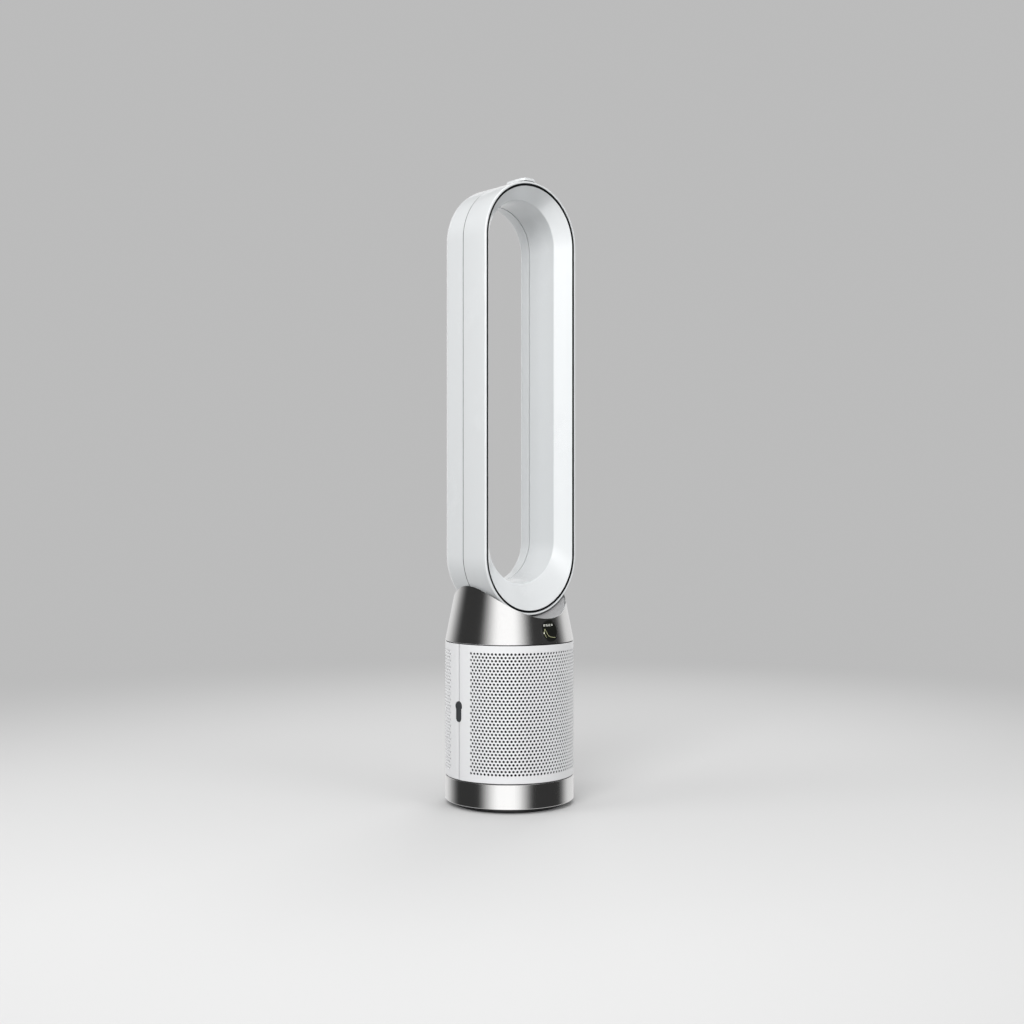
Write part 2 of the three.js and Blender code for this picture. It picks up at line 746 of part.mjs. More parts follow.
/** A closed ring of rounded square sections, each given as half width and height. */
function lofted(stations, around) {
  const squareness = 0.7; // 1 is a circle, and 0 would be a square
  const rounded = (share) => Math.sign(share) * Math.abs(share) ** squareness;
  const positions = [];
  for (const [half, z] of stations) {
    for (let k = 0; k < around; k += 1) {
      const angle = TAU * k / around;
      positions.push(half * rounded(Math.cos(angle)), half * rounded(Math.sin(angle)), z);
    }
  }
  const geometry = new THREE.BufferGeometry();
  geometry.setAttribute('position', new THREE.Float32BufferAttribute(positions, 3));
  geometry.setIndex(torusFaces(stations.length, around));
  return solid(geometry);
}

/** Two triangles for each cell of a grid that closes on itself both ways. */
function torusFaces(rows, columns) {
  const faces = [];
  for (let i = 0; i < rows; i += 1) {
    for (let k = 0; k < columns; k += 1) {
      const [next, side] = [(i + 1) % rows, (k + 1) % columns];
      const [a, b] = [i * columns + k, i * columns + side];
      const [c, d] = [next * columns + k, next * columns + side];
      faces.push(a, b, c, b, d, c);
    }
  }
  return faces;
}

/** A gasket in the gap between the loop's underside and the cradle. */
function neckSeal() {
  const sheet = troughRod(TROUGH_RADIUS - 0.5).subtract(troughRod(LOOP_RADIUS + 0.5));
  return sheet.intersect(neckPrism(6)).subtract(neckPrism(3));
}

function displayBezel() {
  const outer = DISPLAY_RADIUS - GAP;
  const ring = rodThroughCollar(outer, -20, 20).subtract(rodThroughCollar(outer - BEZEL_WIDTH, -25, 25));
  return ring.intersect(collarCone(-0.4, 2.6));
}

function displayGlass() {
  const radius = DISPLAY_RADIUS - 2 * GAP - BEZEL_WIDTH;
  return rodThroughCollar(radius, -20, 20).intersect(collarCone(0.1, 2.2));
}

function displayBoard() {
  return rodThroughCollar(DISPLAY_RADIUS - 2.6, -9.5, -7.5, 16);
}

function controlBoard() {
  const board = block([-32, 32], [78, 79.6], [290, 306]);
  const parts = [[-26, -14], [-8, 4], [12, 26]].map(([x0, x1]) => block([x0, x1], [74, 78.5], [293, 302]));
  return union(board, ...parts);
}

// ---------------------------------------------------------------- loop
/** How far a radius lies from the flare's outer edge towards the throat, 0 to 1. */
function throatShare(radius) {
  return THREE.MathUtils.clamp((FLARE_RADIUS - radius) / (FLARE_RADIUS - THROAT_RADIUS), 0, 1);
}

/** Carries a closed [radius, y] profile round the loop's two arcs and straight sides. */
function loopRing(profile) {
  const around = 2 * (ARC_STEPS + 1);
  const positions = [];
  for (const [radius, y] of profile) {
    const share = throatShare(radius);
    const low = THREE.MathUtils.lerp(LOOP_LOW, THROAT_LOW, share);
    const high = THREE.MathUtils.lerp(LOOP_HIGH, THROAT_HIGH, share);
    for (const [centre, from] of [[high, 0], [low, Math.PI]]) {
      for (let k = 0; k <= ARC_STEPS; k += 1) {
        const angle = from + Math.PI * k / ARC_STEPS;
        positions.push(radius * Math.cos(angle), y, centre + radius * Math.sin(angle));
      }
    }
  }
  const geometry = new THREE.BufferGeometry();
  geometry.setAttribute('position', new THREE.Float32BufferAttribute(positions, 3));
  geometry.setIndex(torusFaces(profile.length, around));
  return solid(geometry);
}

/** Points of a circular arc in the loop's section, between two angles in degrees. */
function sectionArc([r, y], radius, [from, to], steps) {
  return Array.from({ length: steps + 1 }, (_, i) => {
    const angle = THREE.MathUtils.degToRad(from + (to - from) * i / steps);
    return [r + radius * Math.cos(angle), y + radius * Math.sin(angle)];
  });
}

function loopFrontCasing() {
  const inner = LOOP_RADIUS - LOOP_WALL;
  const shell = loopRing([
    [LOOP_RADIUS, -SEAM_HALF],
    [LOOP_RADIUS, LOOP_FRONT + 2],
    [LOOP_RADIUS - 1.6, LOOP_FRONT],
    [RIM_INNER, LOOP_FRONT],
    [inner, LOOP_FRONT + 4],
    [inner, -SEAM_HALF],
  ]);
  return shell.subtract(neckPrism(1));
}

/** The outer wall's back half and its round corner. */
function loopRearCasing() {
  const centre = [LOOP_RADIUS - BACK_CORNER, LOOP_BACK - BACK_CORNER];
  const shell = loopRing([
    [LOOP_RADIUS, SEAM_HALF],
    ...sectionArc(centre, BACK_CORNER, [0, 90], 4),
    [LIP_RADIUS, LOOP_BACK],
    [LIP_RADIUS, LOOP_BACK - LOOP_WALL],
    ...sectionArc(centre, BACK_CORNER - LOOP_WALL, [90, 0], 2),
    [LOOP_RADIUS - LOOP_WALL, SEAM_HALF],
  ]);
  return shell.subtract(neckPrism(1));
}

/** The lip that leads from the back into the throat and overlaps the air slot. */
function loopRearLip() {
  const edge = LIP_RADIUS - GAP;
  return loopRing([
    [edge, LOOP_BACK],
    [76, LOOP_BACK - 0.8],
    [73, LOOP_BACK - 3.6],
    [SLOT_RADIUS + 0.2, SLOT_LIP],
    [SLOT_RADIUS + 2.3, SLOT_LIP],
    [75.2, LOOP_BACK - 5],
    [edge, LOOP_BACK - LOOP_WALL],
  ]);
}

/** The gloss ring between the casing's rim and the flare. */
function loopFrontTrim() {
  const [inner, outer] = [FLARE_RADIUS + 0.6, RIM_INNER - GAP];
  return loopRing([
    [outer, LOOP_FRONT + 1],
    [outer, LOOP_FRONT + 3],
    [inner, LOOP_FRONT + 3],
    [inner, LOOP_FRONT + 1.4],
  ]);
}

/** The flared band and the inner wall behind it, which ends at the air slot. */
function loopNozzle() {
  return loopRing([
    [93.2, LOOP_FRONT + 0.8],
    [83, LOOP_FRONT + 10],
    [75.6, LOOP_FRONT + 19],
    [THROAT_RADIUS, LOOP_FRONT + 27],
    [SLOT_RADIUS, SLOT_NOZZLE],
    [SLOT_RADIUS + 1.9, SLOT_NOZZLE],
    [74.9, LOOP_FRONT + 27.5],
    [84.4, LOOP_FRONT + 12.4],
    [93.2, LOOP_FRONT + 4.6],
  ]);
}

// ---------------------------------------------------------------- remote control
function remotePlan(inset, heights) {
  const { halfWidth, front, back, corner } = REMOTE;
  const outline = roundedRectangle(
    [-halfWidth + inset, halfWidth - inset],
    [front + inset, back - inset],
    corner - inset,
    4,
  );
  return raised(outline, heights);
}

function remoteRod(radius) {
  return rodAlongY(radius, [REMOTE.front - 10, REMOTE.back + 10], LOOP_HIGH, 72);
}

function remoteSlab(inset, inner, outer) {
  const shell = remoteRod(outer).subtract(remoteRod(inner));
  return shell.intersect(remotePlan(inset, REMOTE_SPAN));
}

const MAGNET = { radius: 6, at: [0, -30] };
const DRAWER = { halfWidth: 6.6, front: -18, bottom: 1057.1, top: 1058.9, cell: 5.1 };
const BUTTONS = {
  remote_button_power: { at: [0, -48], radius: 3.2 },
  remote_button_flow_down: { at: [-6.5, -40], radius: 2.7 },
  remote_button_flow_up: { at: [6.5, -40], radius: 2.7 },
  remote_button_sweep: { at: [-6.5, -31.5], radius: 2.7 },
  remote_button_timer: { at: [6.5, -31.5], radius: 2.7 },
  remote_button_night: { at: [0, -24], radius: 2.7 },
};
const BUTTON_WELL = 1058.4;
const BUTTON_TOP = LOOP_HIGH + REMOTE_CROWN + 0.5;

function remoteBase() {
  const pocket = rod(MAGNET.radius + 0.4, REMOTE_SPAN, MAGNET.at);
  return remoteSlab(0.6, REMOTE_SEAT, REMOTE_SPLIT).subtract(pocket);
}

function remoteMagnet() {
  return rod(MAGNET.radius, [LOOP_HIGH + REMOTE_SEAT + 0.1, LOOP_HIGH + REMOTE_SPLIT - 0.1], MAGNET.at);
}

function remoteShell() {
  const { halfWidth, front, bottom, top } = DRAWER;
  const slot = block([-halfWidth - GAP, halfWidth + GAP], [front - GAP, 0], [bottom - GAP, top + GAP]);
  const wells = Object.values(BUTTONS).map(({ at, radius }) => (
    rod(radius + GAP, [BUTTON_WELL, REMOTE_SPAN[1]], at, 12)
  ));
  return remoteSlab(0, REMOTE_SPLIT + GAP, REMOTE_CROWN).subtract(union(slot, ...wells));
}

function remoteBatteryDrawer() {
  const { halfWidth, front, bottom, top, cell } = DRAWER;
  const tray = block([-halfWidth, halfWidth], [front, REMOTE.back - 0.2], [bottom, top]);
  return tray.subtract(rod(cell, [bottom + 0.6, top + 1], [0, front + cell + 0.9]));
}

function remoteButton({ at, radius }) {
  return rod(radius, [BUTTON_WELL + 1, BUTTON_TOP], at, 12);
}

// ---------------------------------------------------------------- assembly
const fan = new THREE.Group();

function place(name, body, look) {
  const mesh = new THREE.Mesh(geometryOf(body), new THREE.MeshStandardMaterial(look));
  mesh.name = name;
  fan.add(mesh);
}

place('foot_pad', footPad(), RUBBER);
place('foot_plinth', footPlinth(), BLACK_PLASTIC);

place('base_tray', baseTray(), BLACK_PLASTIC);
place('base_band', baseBand(), NICKEL);
place('base_cover', baseCover(), BLACK_PLASTIC);
place('bearing_ring', bearingRing(), ACETAL);
place('oscillation_motor', oscillationMotor(), STEEL);
place('oscillation_pinion', oscillationPinion(), ACETAL);
place('mains_inlet', mainsInlet(), BLACK_PLASTIC);
place('power_board', powerBoard(), BOARD_GREEN);
place('air_quality_sensor', airQualitySensor(), BLACK_PLASTIC);

place('turntable_gear', turntableGear(), ACETAL);
place('base_deck', baseDeck(), BLACK_PLASTIC);
place('chassis_cage', chassisCage(), PALE_GREY);
place('spine_left', spine(-1), PALE_GREY);
place('spine_right', spine(1), PALE_GREY);
place('top_frame', topFrame(), BLACK_PLASTIC);
const halves = {
  filter_frame: [filterFrame(), DARK_GREY],
  filter_pleats: [filterPleats(), FILTER_CLOTH],
  filter_carbon: [carbonHalf(), CARBON],
  shroud: [shroudHalf(), WHITE],
};
for (const [name, [body, look]] of Object.entries(halves)) {
  place(`${name}_front`, body, look);
  place(`${name}_rear`, atBack(body), look);
}
place('release_button_left', releaseButton(-1), DARK_GREY);
place('release_button_right', releaseButton(1), DARK_GREY);

place('inlet_bellmouth', inletBellmouth(), PALE_GREY);
place('impeller_housing', impellerHousing(), PALE_GREY);
place('impeller', impeller(), BLACK_PLASTIC);
place('motor_shaft', motorShaft(), STEEL);
place('motor_can', motorCan(), STEEL);
place('bearing_lower', bearing('lower'), STEEL);
place('bearing_upper', bearing('upper'), STEEL);
place('diffuser', diffuser(), PALE_GREY);
place('isolator_ring', isolatorRing(), RUBBER);

place('collar_skin', collarSkin(), NICKEL);
place('cradle', cradle(), PALE_GREY);
place('neck_duct', neckDuct(), BLACK_PLASTIC);
place('neck_seal', neckSeal(), RUBBER);
place('display_bezel', displayBezel(), GLOSS_BLACK);
place('display_glass', displayGlass(), GLOSS_BLACK);
place('display_board', displayBoard(), BOARD_GREEN);
place('control_board', controlBoard(), BOARD_GREEN);

place('loop_front_casing', loopFrontCasing(), WHITE);
place('loop_rear_casing', loopRearCasing(), WHITE);
place('loop_rear_lip', loopRearLip(), WHITE);
place('loop_front_trim', loopFrontTrim(), GLOSS_BLACK);
place('loop_nozzle', loopNozzle(), WHITE);

place('remote_base', remoteBase(), DARK_GREY);
place('remote_shell', remoteShell(), WHITE);
place('remote_magnet', remoteMagnet(), STEEL);
place('remote_battery_drawer', remoteBatteryDrawer(), DARK_GREY);
for (const [name, button] of Object.entries(BUTTONS)) {
  place(name, remoteButton(button), PALE_GREY);
}

export default fan;
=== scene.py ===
"""The looks of a bladeless tower fan with an air filter.

Every piece is worked out in millimetres in the part's own frame: +Z up, the front towards -Y, and the
origin on the floor under the round base. Meshes are stored in metres.
"""
import json
import logging
import math
from collections.abc import Callable, Sequence
from dataclasses import dataclass, field
from enum import Enum

import bmesh
import bpy
import numpy as np
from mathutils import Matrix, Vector


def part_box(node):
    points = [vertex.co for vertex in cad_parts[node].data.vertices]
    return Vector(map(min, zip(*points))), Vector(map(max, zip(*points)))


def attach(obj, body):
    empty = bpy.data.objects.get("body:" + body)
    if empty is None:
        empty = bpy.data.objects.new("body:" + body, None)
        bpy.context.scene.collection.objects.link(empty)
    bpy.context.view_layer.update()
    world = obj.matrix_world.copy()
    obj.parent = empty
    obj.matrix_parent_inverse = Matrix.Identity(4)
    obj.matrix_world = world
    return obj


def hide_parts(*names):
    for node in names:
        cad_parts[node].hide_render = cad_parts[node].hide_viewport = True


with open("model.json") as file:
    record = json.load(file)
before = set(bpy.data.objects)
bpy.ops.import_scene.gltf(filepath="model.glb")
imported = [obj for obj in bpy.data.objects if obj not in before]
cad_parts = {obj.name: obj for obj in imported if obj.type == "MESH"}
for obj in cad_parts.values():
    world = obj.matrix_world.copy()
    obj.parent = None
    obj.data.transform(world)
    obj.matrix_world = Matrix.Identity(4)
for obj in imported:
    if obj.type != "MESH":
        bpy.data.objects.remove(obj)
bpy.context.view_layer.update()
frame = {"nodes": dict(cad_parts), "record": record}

LOG = logging.getLogger("fan")
MM = 0.001
PIXELS = 1024  # width and height of the photograph
SHARP = 35.0  # degrees between faces past which an edge is shaded sharp

Piece = bpy.types.Object
Colour = tuple[float, float, float]
Path = Sequence[tuple[float, float]]
Faces = list[np.ndarray]


class Body(Enum):
    """The rigid bodies that the pieces ride on."""

    BASE = "base"
    MACHINE = "machine"
    FRONT_SHROUD = "front_shroud"
    REAR_SHROUD = "rear_shroud"
    LEFT_BUTTON = "left_button"
    RIGHT_BUTTON = "right_button"
    REMOTE = "remote"
    BATTERY_DRAWER = "battery_drawer"
    KEY_POWER = "key_power"
    KEY_FLOW_DOWN = "key_flow_down"
    KEY_FLOW_UP = "key_flow_up"
    KEY_SWEEP = "key_sweep"
    KEY_TIMER = "key_timer"
    KEY_NIGHT = "key_night"


def direction(azimuth: float, elevation: float = 0.0) -> Vector:
    """The unit vector towards an azimuth, 0 for the front and 90 for +X, and an elevation, in degrees."""
    across, up = math.radians(azimuth), math.radians(elevation)
    return Vector((math.sin(across) * math.cos(up), -math.cos(across) * math.cos(up), math.sin(up)))


def new_object(name: str, data: bpy.types.ID) -> Piece:
    """Makes an object of its data, at the origin, and links it to the scene."""
    thing = bpy.data.objects.new(name, data)
    bpy.context.scene.collection.objects.link(thing)
    return thing


def aim(thing: Piece, place: Vector, away: Vector) -> None:
    """Puts a camera or lamp at a place in metres and turns it to look against a direction."""
    thing.location = place
    thing.rotation_euler = (-away).to_track_quat("-Z", "Y").to_euler()


# ---- camera
@dataclass(frozen=True)
class PhotoCamera:
    """The camera that took the photograph, worked out from its ellipses and vertical lines."""

    azimuth: float = -40.0
    distance: float = 2400.0  # from the axis of the base
    height: float = 497.0
    axis_offset: float = 4.5  # how far the view's centre lies right of the axis
    focal_pixels: float = 1397.0
    sensor: float = 36.0

    def build(self) -> None:
        """Makes the camera and gives it to the scene."""
        back, right = direction(self.azimuth), direction(self.azimuth + 90)
        data = bpy.data.cameras.new("photo_camera")
        data.sensor_width = self.sensor
        data.lens = self.focal_pixels / PIXELS * self.sensor
        camera = new_object("photo_camera", data)
        place = back * self.distance + right * self.axis_offset + Vector((0, 0, self.height))
        aim(camera, place * MM, back)
        bpy.context.scene.camera = camera


# ---- surfaces as arrays
def extent(node: str) -> tuple[np.ndarray, np.ndarray]:
    """The lowest and the highest corner of a CAD node, in millimetres."""
    low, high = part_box(node)
    return np.array(low) / MM, np.array(high) / MM


def polar(radius: np.ndarray | float, azimuth: np.ndarray, height: np.ndarray | float) -> np.ndarray:
    """Points round the Z axis; azimuths are in degrees, 0 for the front and 90 for +X."""
    angle = np.radians(azimuth)
    return np.stack(np.broadcast_arrays(radius * np.sin(angle), -radius * np.cos(angle), height), axis=-1)


def grid_faces(rows: int, columns: int, close_rows: bool = False, close_columns: bool = False) -> np.ndarray:
    """Quads between the neighbours of a grid of points numbered row by row.

    Args:
        rows: number of rows.
        columns: number of points in a row.
        close_rows: whether the last row meets the first.
        close_columns: whether each row closes on itself.

    Returns:
        An array of four indices for each quad.
    """
    i = np.arange(rows if close_rows else rows - 1)[:, None]
    k = np.arange(columns if close_columns else columns - 1)[None, :]
    up, side = (i + 1) % rows, (k + 1) % columns
    corners = [i * columns + k, i * columns + side, up * columns + side, up * columns + k]
    return np.stack(np.broadcast_arrays(*corners), axis=-1).reshape(-1, 4)


def quadratic(start: np.ndarray, bend: np.ndarray, end: np.ndarray, steps: int) -> np.ndarray:
    """Points (1-t)^2 A + 2t(1-t) B + t^2 C from the start A past the bend B to the end C."""
    t = np.linspace(0, 1, steps + 1)[:, None]
    start, bend, end = (corner[..., None, :] for corner in (start, bend, end))
    return (1 - t) ** 2 * start + 2 * t * (1 - t) * bend + t ** 2 * end


def filleted(corners: Path, radius: float = 0.6, steps: int = 4) -> np.ndarray:
    """A closed outline with each corner eased by a short quadratic curve.

    Args:
        corners: the outline's corners.
        radius: how far the easing reaches along each side, if a third of the side isn't less.
        steps: segments of each curve.

    Returns:
        The outline's points, one pair a row.
    """
    corner = np.array(corners, dtype=float)
    ends = []
    for neighbour in (np.roll(corner, 1, axis=0), np.roll(corner, -1, axis=0)):
        side = neighbour - corner
        length = np.linalg.norm(side, axis=1, keepdims=True)
        ends.append(corner + side / length * np.minimum(radius, length / 3))
    return quadratic(ends[0], corner, ends[1], steps).reshape(-1, 2)


def outward(points: np.ndarray, faces: Faces) -> Faces:
    """Turns the faces of a closed surface round if they enclose a negative volume."""
    fans = [face[:, [0, k, k + 1]] for face in faces for k in range(1, face.shape[1] - 1)]
    volume = sum(np.linalg.det(points[fan]).sum() for fan in fans)
    return faces if volume > 0 else [face[:, ::-1] for face in faces]


def smooth_object(name: str, mesh: bpy.types.Mesh) -> Piece:
    """Shades a mesh smooth, but for its sharp edges, and makes an object of it."""
    mesh.shade_smooth()
    mesh.set_sharp_from_angle(angle=math.radians(SHARP))
    return new_object(name, mesh)


def make_piece(name: str, points: np.ndarray, faces: Faces) -> Piece:
    """Puts arrays of points and faces into a mesh object.

    Args:
        name: the piece's name.
        points: its points in millimetres; those in no face are left out.
        faces: its faces, as arrays of indices with one width each.

    Returns:
        The new object.
    """
    used = np.unique(np.concatenate([face.ravel() for face in faces]))
    points = points[used]
    faces = outward(points, [np.searchsorted(used, face) for face in faces])
    mesh = bpy.data.meshes.new(name)
    mesh.from_pydata((points * MM).tolist(), [], [corners for face in faces for corners in face.tolist()])
    mesh.validate()
    return smooth_object(name, mesh)


def walled_piece(name: str, outer: np.ndarray, inner: np.ndarray, faces: Faces) -> Piece:
    """Closes two like surfaces into a wall, with a rim along every edge that only one face uses.

    Args:
        name: the piece's name.
        outer: points of the outer surface.
        inner: the points behind them, in the same order.
        faces: faces of the outer surface.

    Returns:
        The new object.
    """
    count = outer.size // 3
    edges = np.concatenate([np.stack([f, np.roll(f, -1, axis=1)], axis=2).reshape(-1, 2) for f in faces])
    rim = edges[~np.isin(edges @ [count, 1], edges @ [1, count])]
    walls = np.column_stack([rim[:, ::-1], rim + count])
    points = np.concatenate([outer.reshape(-1, 3), inner.reshape(-1, 3)])
    return make_piece(name, points, [*faces, *[f[:, ::-1] + count for f in faces], walls])


def lofted_piece(name: str, rows: np.ndarray | list[np.ndarray], ring: bool = False) -> Piece:
    """Closed rows of points joined into a skin.

    Args:
        name: the piece's name.
        rows: the rows, each with the same number of points.
        ring: whether the last row meets the first; if not, a face covers each of them.

    Returns:
        The new object.
    """
    rows = np.asarray(rows)
    count, around = rows.shape[:2]
    first = np.arange(around)[None, ::-1]
    covers = [] if ring else [first, first[:, ::-1] + (count - 1) * around]
    return make_piece(name, rows.reshape(-1, 3), [grid_faces(count, around, ring, True), *covers])


def turned_piece(name: str, outline: np.ndarray, sides: int = 192) -> Piece:
    """A closed [radius, height] outline turned about the Z axis in a number of sides."""
    azimuth = np.arange(sides) * 360.0 / sides
    return lofted_piece(name, polar(outline[:, :1], azimuth, outline[:, 1:]), ring=True)


# ---- shader expressions
def feed(target: bpy.types.NodeSocket, value: "Signal | float | tuple") -> None:
    """Links a signal to a socket, or sets its value; a colour gets its fourth channel."""
    if isinstance(value, Signal):
        target.id_data.links.new(value.socket, target)
    elif isinstance(value, tuple) and len(value) == 3 and target.type == "RGBA":
        target.default_value = (*value, 1.0)
    else:
        target.default_value = value


def operation(kind: str, swapped: bool = False) -> Callable[["Signal", "Signal | float"], "Signal"]:
    """A method that joins a signal and another value in a Math node, the other first where swapped."""

    def method(self: "Signal", other: "Signal | float") -> "Signal":
        """Adds the node and gives its result."""
        node = self.socket.id_data.nodes.new("ShaderNodeMath")
        node.operation = kind
        for target, value in zip(node.inputs, (other, self) if swapped else (self, other)):
            feed(target, value)
        return Signal(node.outputs[0])

    return method


class Signal:
    """A shader socket that takes part in Python arithmetic."""

    def __init__(self, socket: bpy.types.NodeSocket) -> None:
        """Keeps the socket."""
        self.socket = socket

    __add__, __radd__ = operation("ADD"), operation("ADD", True)
    __sub__, __rsub__ = operation("SUBTRACT"), operation("SUBTRACT", True)
    __mul__ = operation("MULTIPLY")
    __mod__ = operation("FLOORED_MODULO")
    turn_from = operation("ARCTAN2")  # the angle whose tangent is this signal over the other


class Graph:
    """A node tree that is written with signals."""

    def __init__(self, tree: bpy.types.NodeTree) -> None:
        """Keeps the tree."""
        self.tree = tree

    def node(self, kind: str, values: dict, output: str | int = 0, **settings: str) -> Signal:
        """Adds any node.

        Args:
            kind: the node's type.
            values: values or signals for its inputs.
            output: the output to read.
            settings: attributes set first.

        Returns:
            The output as a signal.
        """
        node = self.tree.nodes.new(kind)
        for key, value in settings.items():
            setattr(node, key, value)
        for key, value in values.items():
            feed(node.inputs[key], value)
        return Signal(node.outputs[output])

    def blend(self, share: Signal, first: "Signal | Colour", second: "Signal | Colour") -> Signal:
        """A colour between two, by a signal from 0 to 1; sockets 6, 7 and 2 are the node's colours."""
        return self.node("ShaderNodeMix", {0: share, 6: first, 7: second}, 2, data_type="RGBA")

    def step(self, value: Signal, start: float, end: float) -> Signal:
        """A smooth step: 0 up to the start and 1 from the end on."""
        values = {"Value": value, "From Min": start, "From Max": end}
        return self.node("ShaderNodeMapRange", values, interpolation_type="SMOOTHSTEP")


class Finish(Graph):
    """A material with one Principled shader, read in Object coordinates."""

    def __init__(self, name: str) -> None:
        """Makes the material, its shader and its coordinates."""
        self.material = bpy.data.materials.new(name)
        self.material.use_nodes = True
        super().__init__(self.material.node_tree)
        self.shader = self.tree.nodes["Principled BSDF"]
        self.place = self.node("ShaderNodeTexCoord", {}, "Object")

    def set(self, **inputs: "Signal | float | tuple") -> None:
        """Feeds the shader's sockets, named with _ for spaces."""
        for key, value in inputs.items():
            feed(self.shader.inputs[key.replace("_", " ")], value)

    def noise(self, scale: float, detail: float = 2.0, stretch: Colour = (1.0, 1.0, 1.0)) -> Signal:
        """Noise of a scale per metre, stretched along the axes."""
        mapping = self.node("ShaderNodeMapping", {"Vector": self.place, "Scale": stretch})
        return self.node("ShaderNodeTexNoise", {"Vector": mapping, "Scale": scale, "Detail": detail})

    def bump(self, height: Signal, strength: float, distance: float) -> Signal:
        """A normal raised by a height, over a distance in metres."""
        return self.node("ShaderNodeBump", {"Height": height, "Strength": strength, "Distance": distance})


def shaded(colour: Colour, share: float) -> Colour:
    """A colour with each channel brought down to a share."""
    return tuple(channel * share for channel in colour)


@dataclass(frozen=True)
class MouldedPlastic:
    """Injection moulded plastic with faint flow shading and a fine spark-eroded grain."""

    name: str
    colour: Colour
    roughness: float = 0.36
    grain: float = 0.25
    coat: float = 0.0
    metal: float = 0.0

    def build(self) -> bpy.types.Material:
        """Makes the material."""
        finish = Finish(self.name)
        flow = finish.noise(9.0, 3.0)
        grain = finish.noise(2600.0, 2.0)
        finish.set(
            Base_Color=finish.blend(flow, shaded(self.colour, 0.98), self.colour),
            Roughness=self.roughness + (flow - 0.5) * 0.08 + (grain - 0.5) * 0.06,
            Normal=finish.bump(grain, self.grain, 0.00002),
            Coat_Weight=self.coat,
            Coat_Roughness=0.08,
            Metallic=self.metal,
        )
        return finish.material


@dataclass(frozen=True)
class WorkedMetal:
    """Bare or plated metal with the fine lines that brushing or turning leaves."""

    name: str
    dark: Colour
    light: Colour
    scale: float  # of the lines
    stretch: Colour  # of that scale along the axes
    roughness: float
    spread: float  # of the roughness over the lines
    relief: tuple[float, float]  # strength and depth of the lines
    patches: float = 0.0  # spread of the roughness over wide patches

    def build(self) -> bpy.types.Material:
        """Makes the material."""
        finish = Finish(self.name)
        lines = finish.noise(self.scale, 4.0, self.stretch)
        wide = finish.noise(14.0, 2.0)
        finish.set(
            Base_Color=finish.blend(lines, self.dark, self.light),
            Metallic=1.0,
            Roughness=self.roughness + (lines - 0.5) * self.spread + (wide - 0.5) * self.patches,
            Normal=finish.bump(lines, *self.relief),
        )
        return finish.material


@dataclass(frozen=True)
class Granular:
    """A matt material of two tones in grains, such as rubber, paper, carbon or board."""

    name: str
    dark: Colour
    light: Colour
    scale: float
    roughness: float = 0.85
    relief: float = 0.0001

    def build(self) -> bpy.types.Material:
        """Makes the material."""
        finish = Finish(self.name)
        cells = finish.node("ShaderNodeTexVoronoi", {"Vector": finish.place, "Scale": self.scale}, "Distance")
        cloud = finish.noise(self.scale * 0.3, 4.0)
        finish.set(
            Base_Color=finish.blend(cells * 0.6 + cloud * 0.5, self.dark, self.light),
            Roughness=self.roughness + (cloud - 0.5) * 0.15,
            Normal=finish.bump(cells, 0.4, self.relief),
        )
        return finish.material


@dataclass(frozen=True)
class Glow:
    """Lit segments behind the display's window."""

    name: str
    colour: Colour
    strength: float

    def build(self) -> bpy.types.Material:
        """Makes the material."""
        finish = Finish(self.name)
        lit = finish.blend(finish.noise(900.0, 1.0), shaded(self.colour, 0.8), self.colour)
        finish.set(Base_Color=lit, Emission_Color=lit, Emission_Strength=self.strength, Roughness=0.3)
        return finish.material


